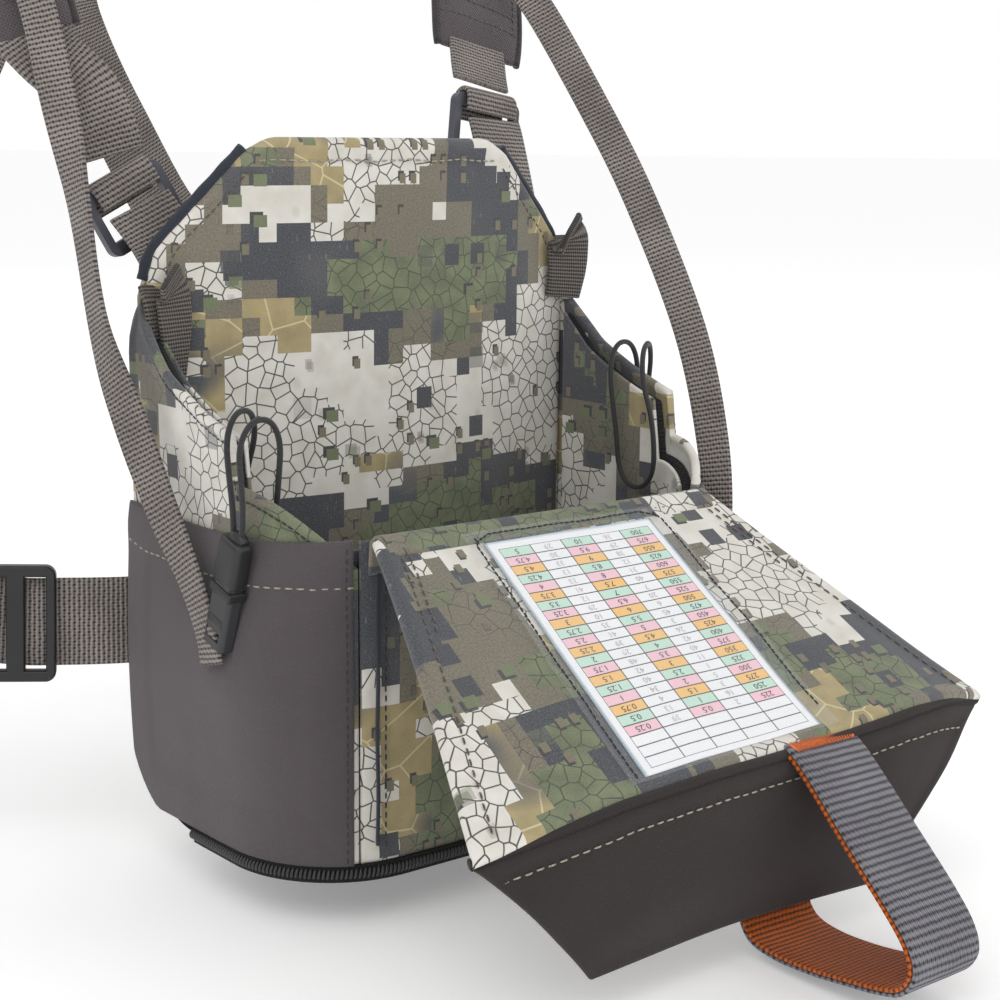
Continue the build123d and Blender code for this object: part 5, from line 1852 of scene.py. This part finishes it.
# ---- buckles, clips and small parts keep their CAD shape ----
KEPT = {
    "ladder_lock_left": "buckle", "ladder_lock_right": "buckle",
    "side_triglide_left": "plastic", "side_triglide_right": "plastic",
    "tether_socket_left": "plastic", "tether_socket_right": "plastic",
    "tether_plug_left": "plastic", "tether_plug_right": "plastic",
    "zipper_slider": "metal", "zipper_pull": "metal",
    "back_stiffener": "board", "panel_magnets": "steel",
}
for node, material in KEPT.items():
    for material_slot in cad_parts[node].material_slots:
        material_slot.material = MAT[material]


def clip_details():
    """Ears, ribs and shoulders of the clips, over their plain blocks."""
    for side, (low, high) in CLIPS.items():
        up = (high - low).normalized()
        length = (high - low).length
        x_dir = up.cross(Vector((1, 0, 0))).normalized()
        base = frame_of(low, x_dir, up)
        parts = (
            ("head", (0, 0, (17.4 + length) / 2), (9.4, 5.6, length - 17.0), 1.9, "tether_plug"),
            ("ear", (4.9, 0, 20.0), (2.4, 3.6, 6.4), 1.0, "tether_plug"),
            ("collar", (0, 0, 15.6), (9.6, 5.8, 2.6), 0.8, "tether_socket"),
            ("foot", (0, 0, 7.4), (7.4, 5.6, 3.4), 0.9, "tether_socket"),
        )
        for tag, at, size, bevel, owner in parts:
            obj = box_mesh(f"clip_{tag}_{side}", base @ Matrix.Translation(at), size, "plastic", bevel)
            body = f"tether_plug_{side}" if owner == "tether_plug" else "pack"
            wear(obj, body, "black_plastic")


clip_details()


def cord_eyes():
    """Small moulded eye at the top of each clip, where the cord loop enters."""
    for side, points in CORD_ROUTES.items():
        a, b = Vector(points[0]), Vector(points[-1])
        mid = (a + b) / 2 + Vector((0, 0, -1.2))
        line = [mid + Vector((0, -3.0 + 6.0 * k / 12, 1.6 * math.sin(math.pi * k / 12))) for k in range(13)]
        obj = tube(f"cord_eye_{side}", line, lambda t: 1.5 + 0.5 * math.sin(math.pi * t), "plastic", sides=12)
        wear(obj, f"tether_plug_{side}", "black_plastic")


cord_eyes()

# ---- floor and light ----


FLOOR_SIZE, FLOOR_DROP = 60.0, 0.002


def floor():
    """Plain pale floor just below the object."""
    bpy.ops.mesh.primitive_plane_add(size=FLOOR_SIZE, location=(0, 0, cad_low.z - FLOOR_DROP))
    obj = bpy.context.object
    obj.name = "floor"
    m = Nodes("floor_paper")
    fine = m.noise(m.place(), 60.0, 2.0)
    colour = m.mix(fine, (0.94, 0.94, 0.94, 1), (0.97, 0.97, 0.97, 1))
    m.set(Base_Color=colour, Roughness=0.9, Emission_Color=(1, 1, 1, 1), Emission_Strength=0.2)
    obj.data.materials.append(m.mat)


floor()


def area_light(name, at, aim, size, power):
    data = bpy.data.lights.new(name, "AREA")
    data.shape = "SQUARE"
    data.size = size
    data.energy = power
    obj = bpy.data.objects.new(name, data)
    obj.location = at
    obj.rotation_mode = "QUATERNION"
    obj.rotation_quaternion = (Vector(aim) - Vector(at)).to_track_quat("-Z", "Y")
    bpy.context.scene.collection.objects.link(obj)


area_light("key", (-1.1, -0.9, 1.5), (0, 0, 0), 1.2, 8.0)
area_light("fill", (1.2, -1.1, 0.7), (0, 0, 0), 1.4, 2.4)
area_light("front", (-0.2, -1.7, 0.25), (0, 0, 0), 1.0, 2.4)
area_light("rear", (0.2, 1.5, 1.2), (0, 0, 0.05), 1.4, 3.6)

# The backdrop is plain white to the camera, and lights the object a little less than that.
WORLD_LIGHT, BACKDROP = 0.80, 1.0
world = bpy.data.worlds.new("studio")
bpy.context.scene.world = world
world.use_nodes = True
background = world.node_tree.nodes["Background"]
background.inputs[0].default_value = (1, 1, 1, 1)
background.inputs[1].default_value = WORLD_LIGHT
backdrop = world.node_tree.nodes.new("ShaderNodeBackground")
backdrop.inputs[0].default_value = (1, 1, 1, 1)
backdrop.inputs[1].default_value = BACKDROP
ray = world.node_tree.nodes.new("ShaderNodeLightPath")
either = world.node_tree.nodes.new("ShaderNodeMixShader")
world.node_tree.links.new(ray.outputs["Is Camera Ray"], either.inputs[0])
world.node_tree.links.new(background.outputs[0], either.inputs[1])
world.node_tree.links.new(backdrop.outputs[0], either.inputs[2])
world.node_tree.links.new(either.outputs[0], world.node_tree.nodes["World Output"].inputs[0])
bpy.context.scene.view_settings.view_transform = "Standard"
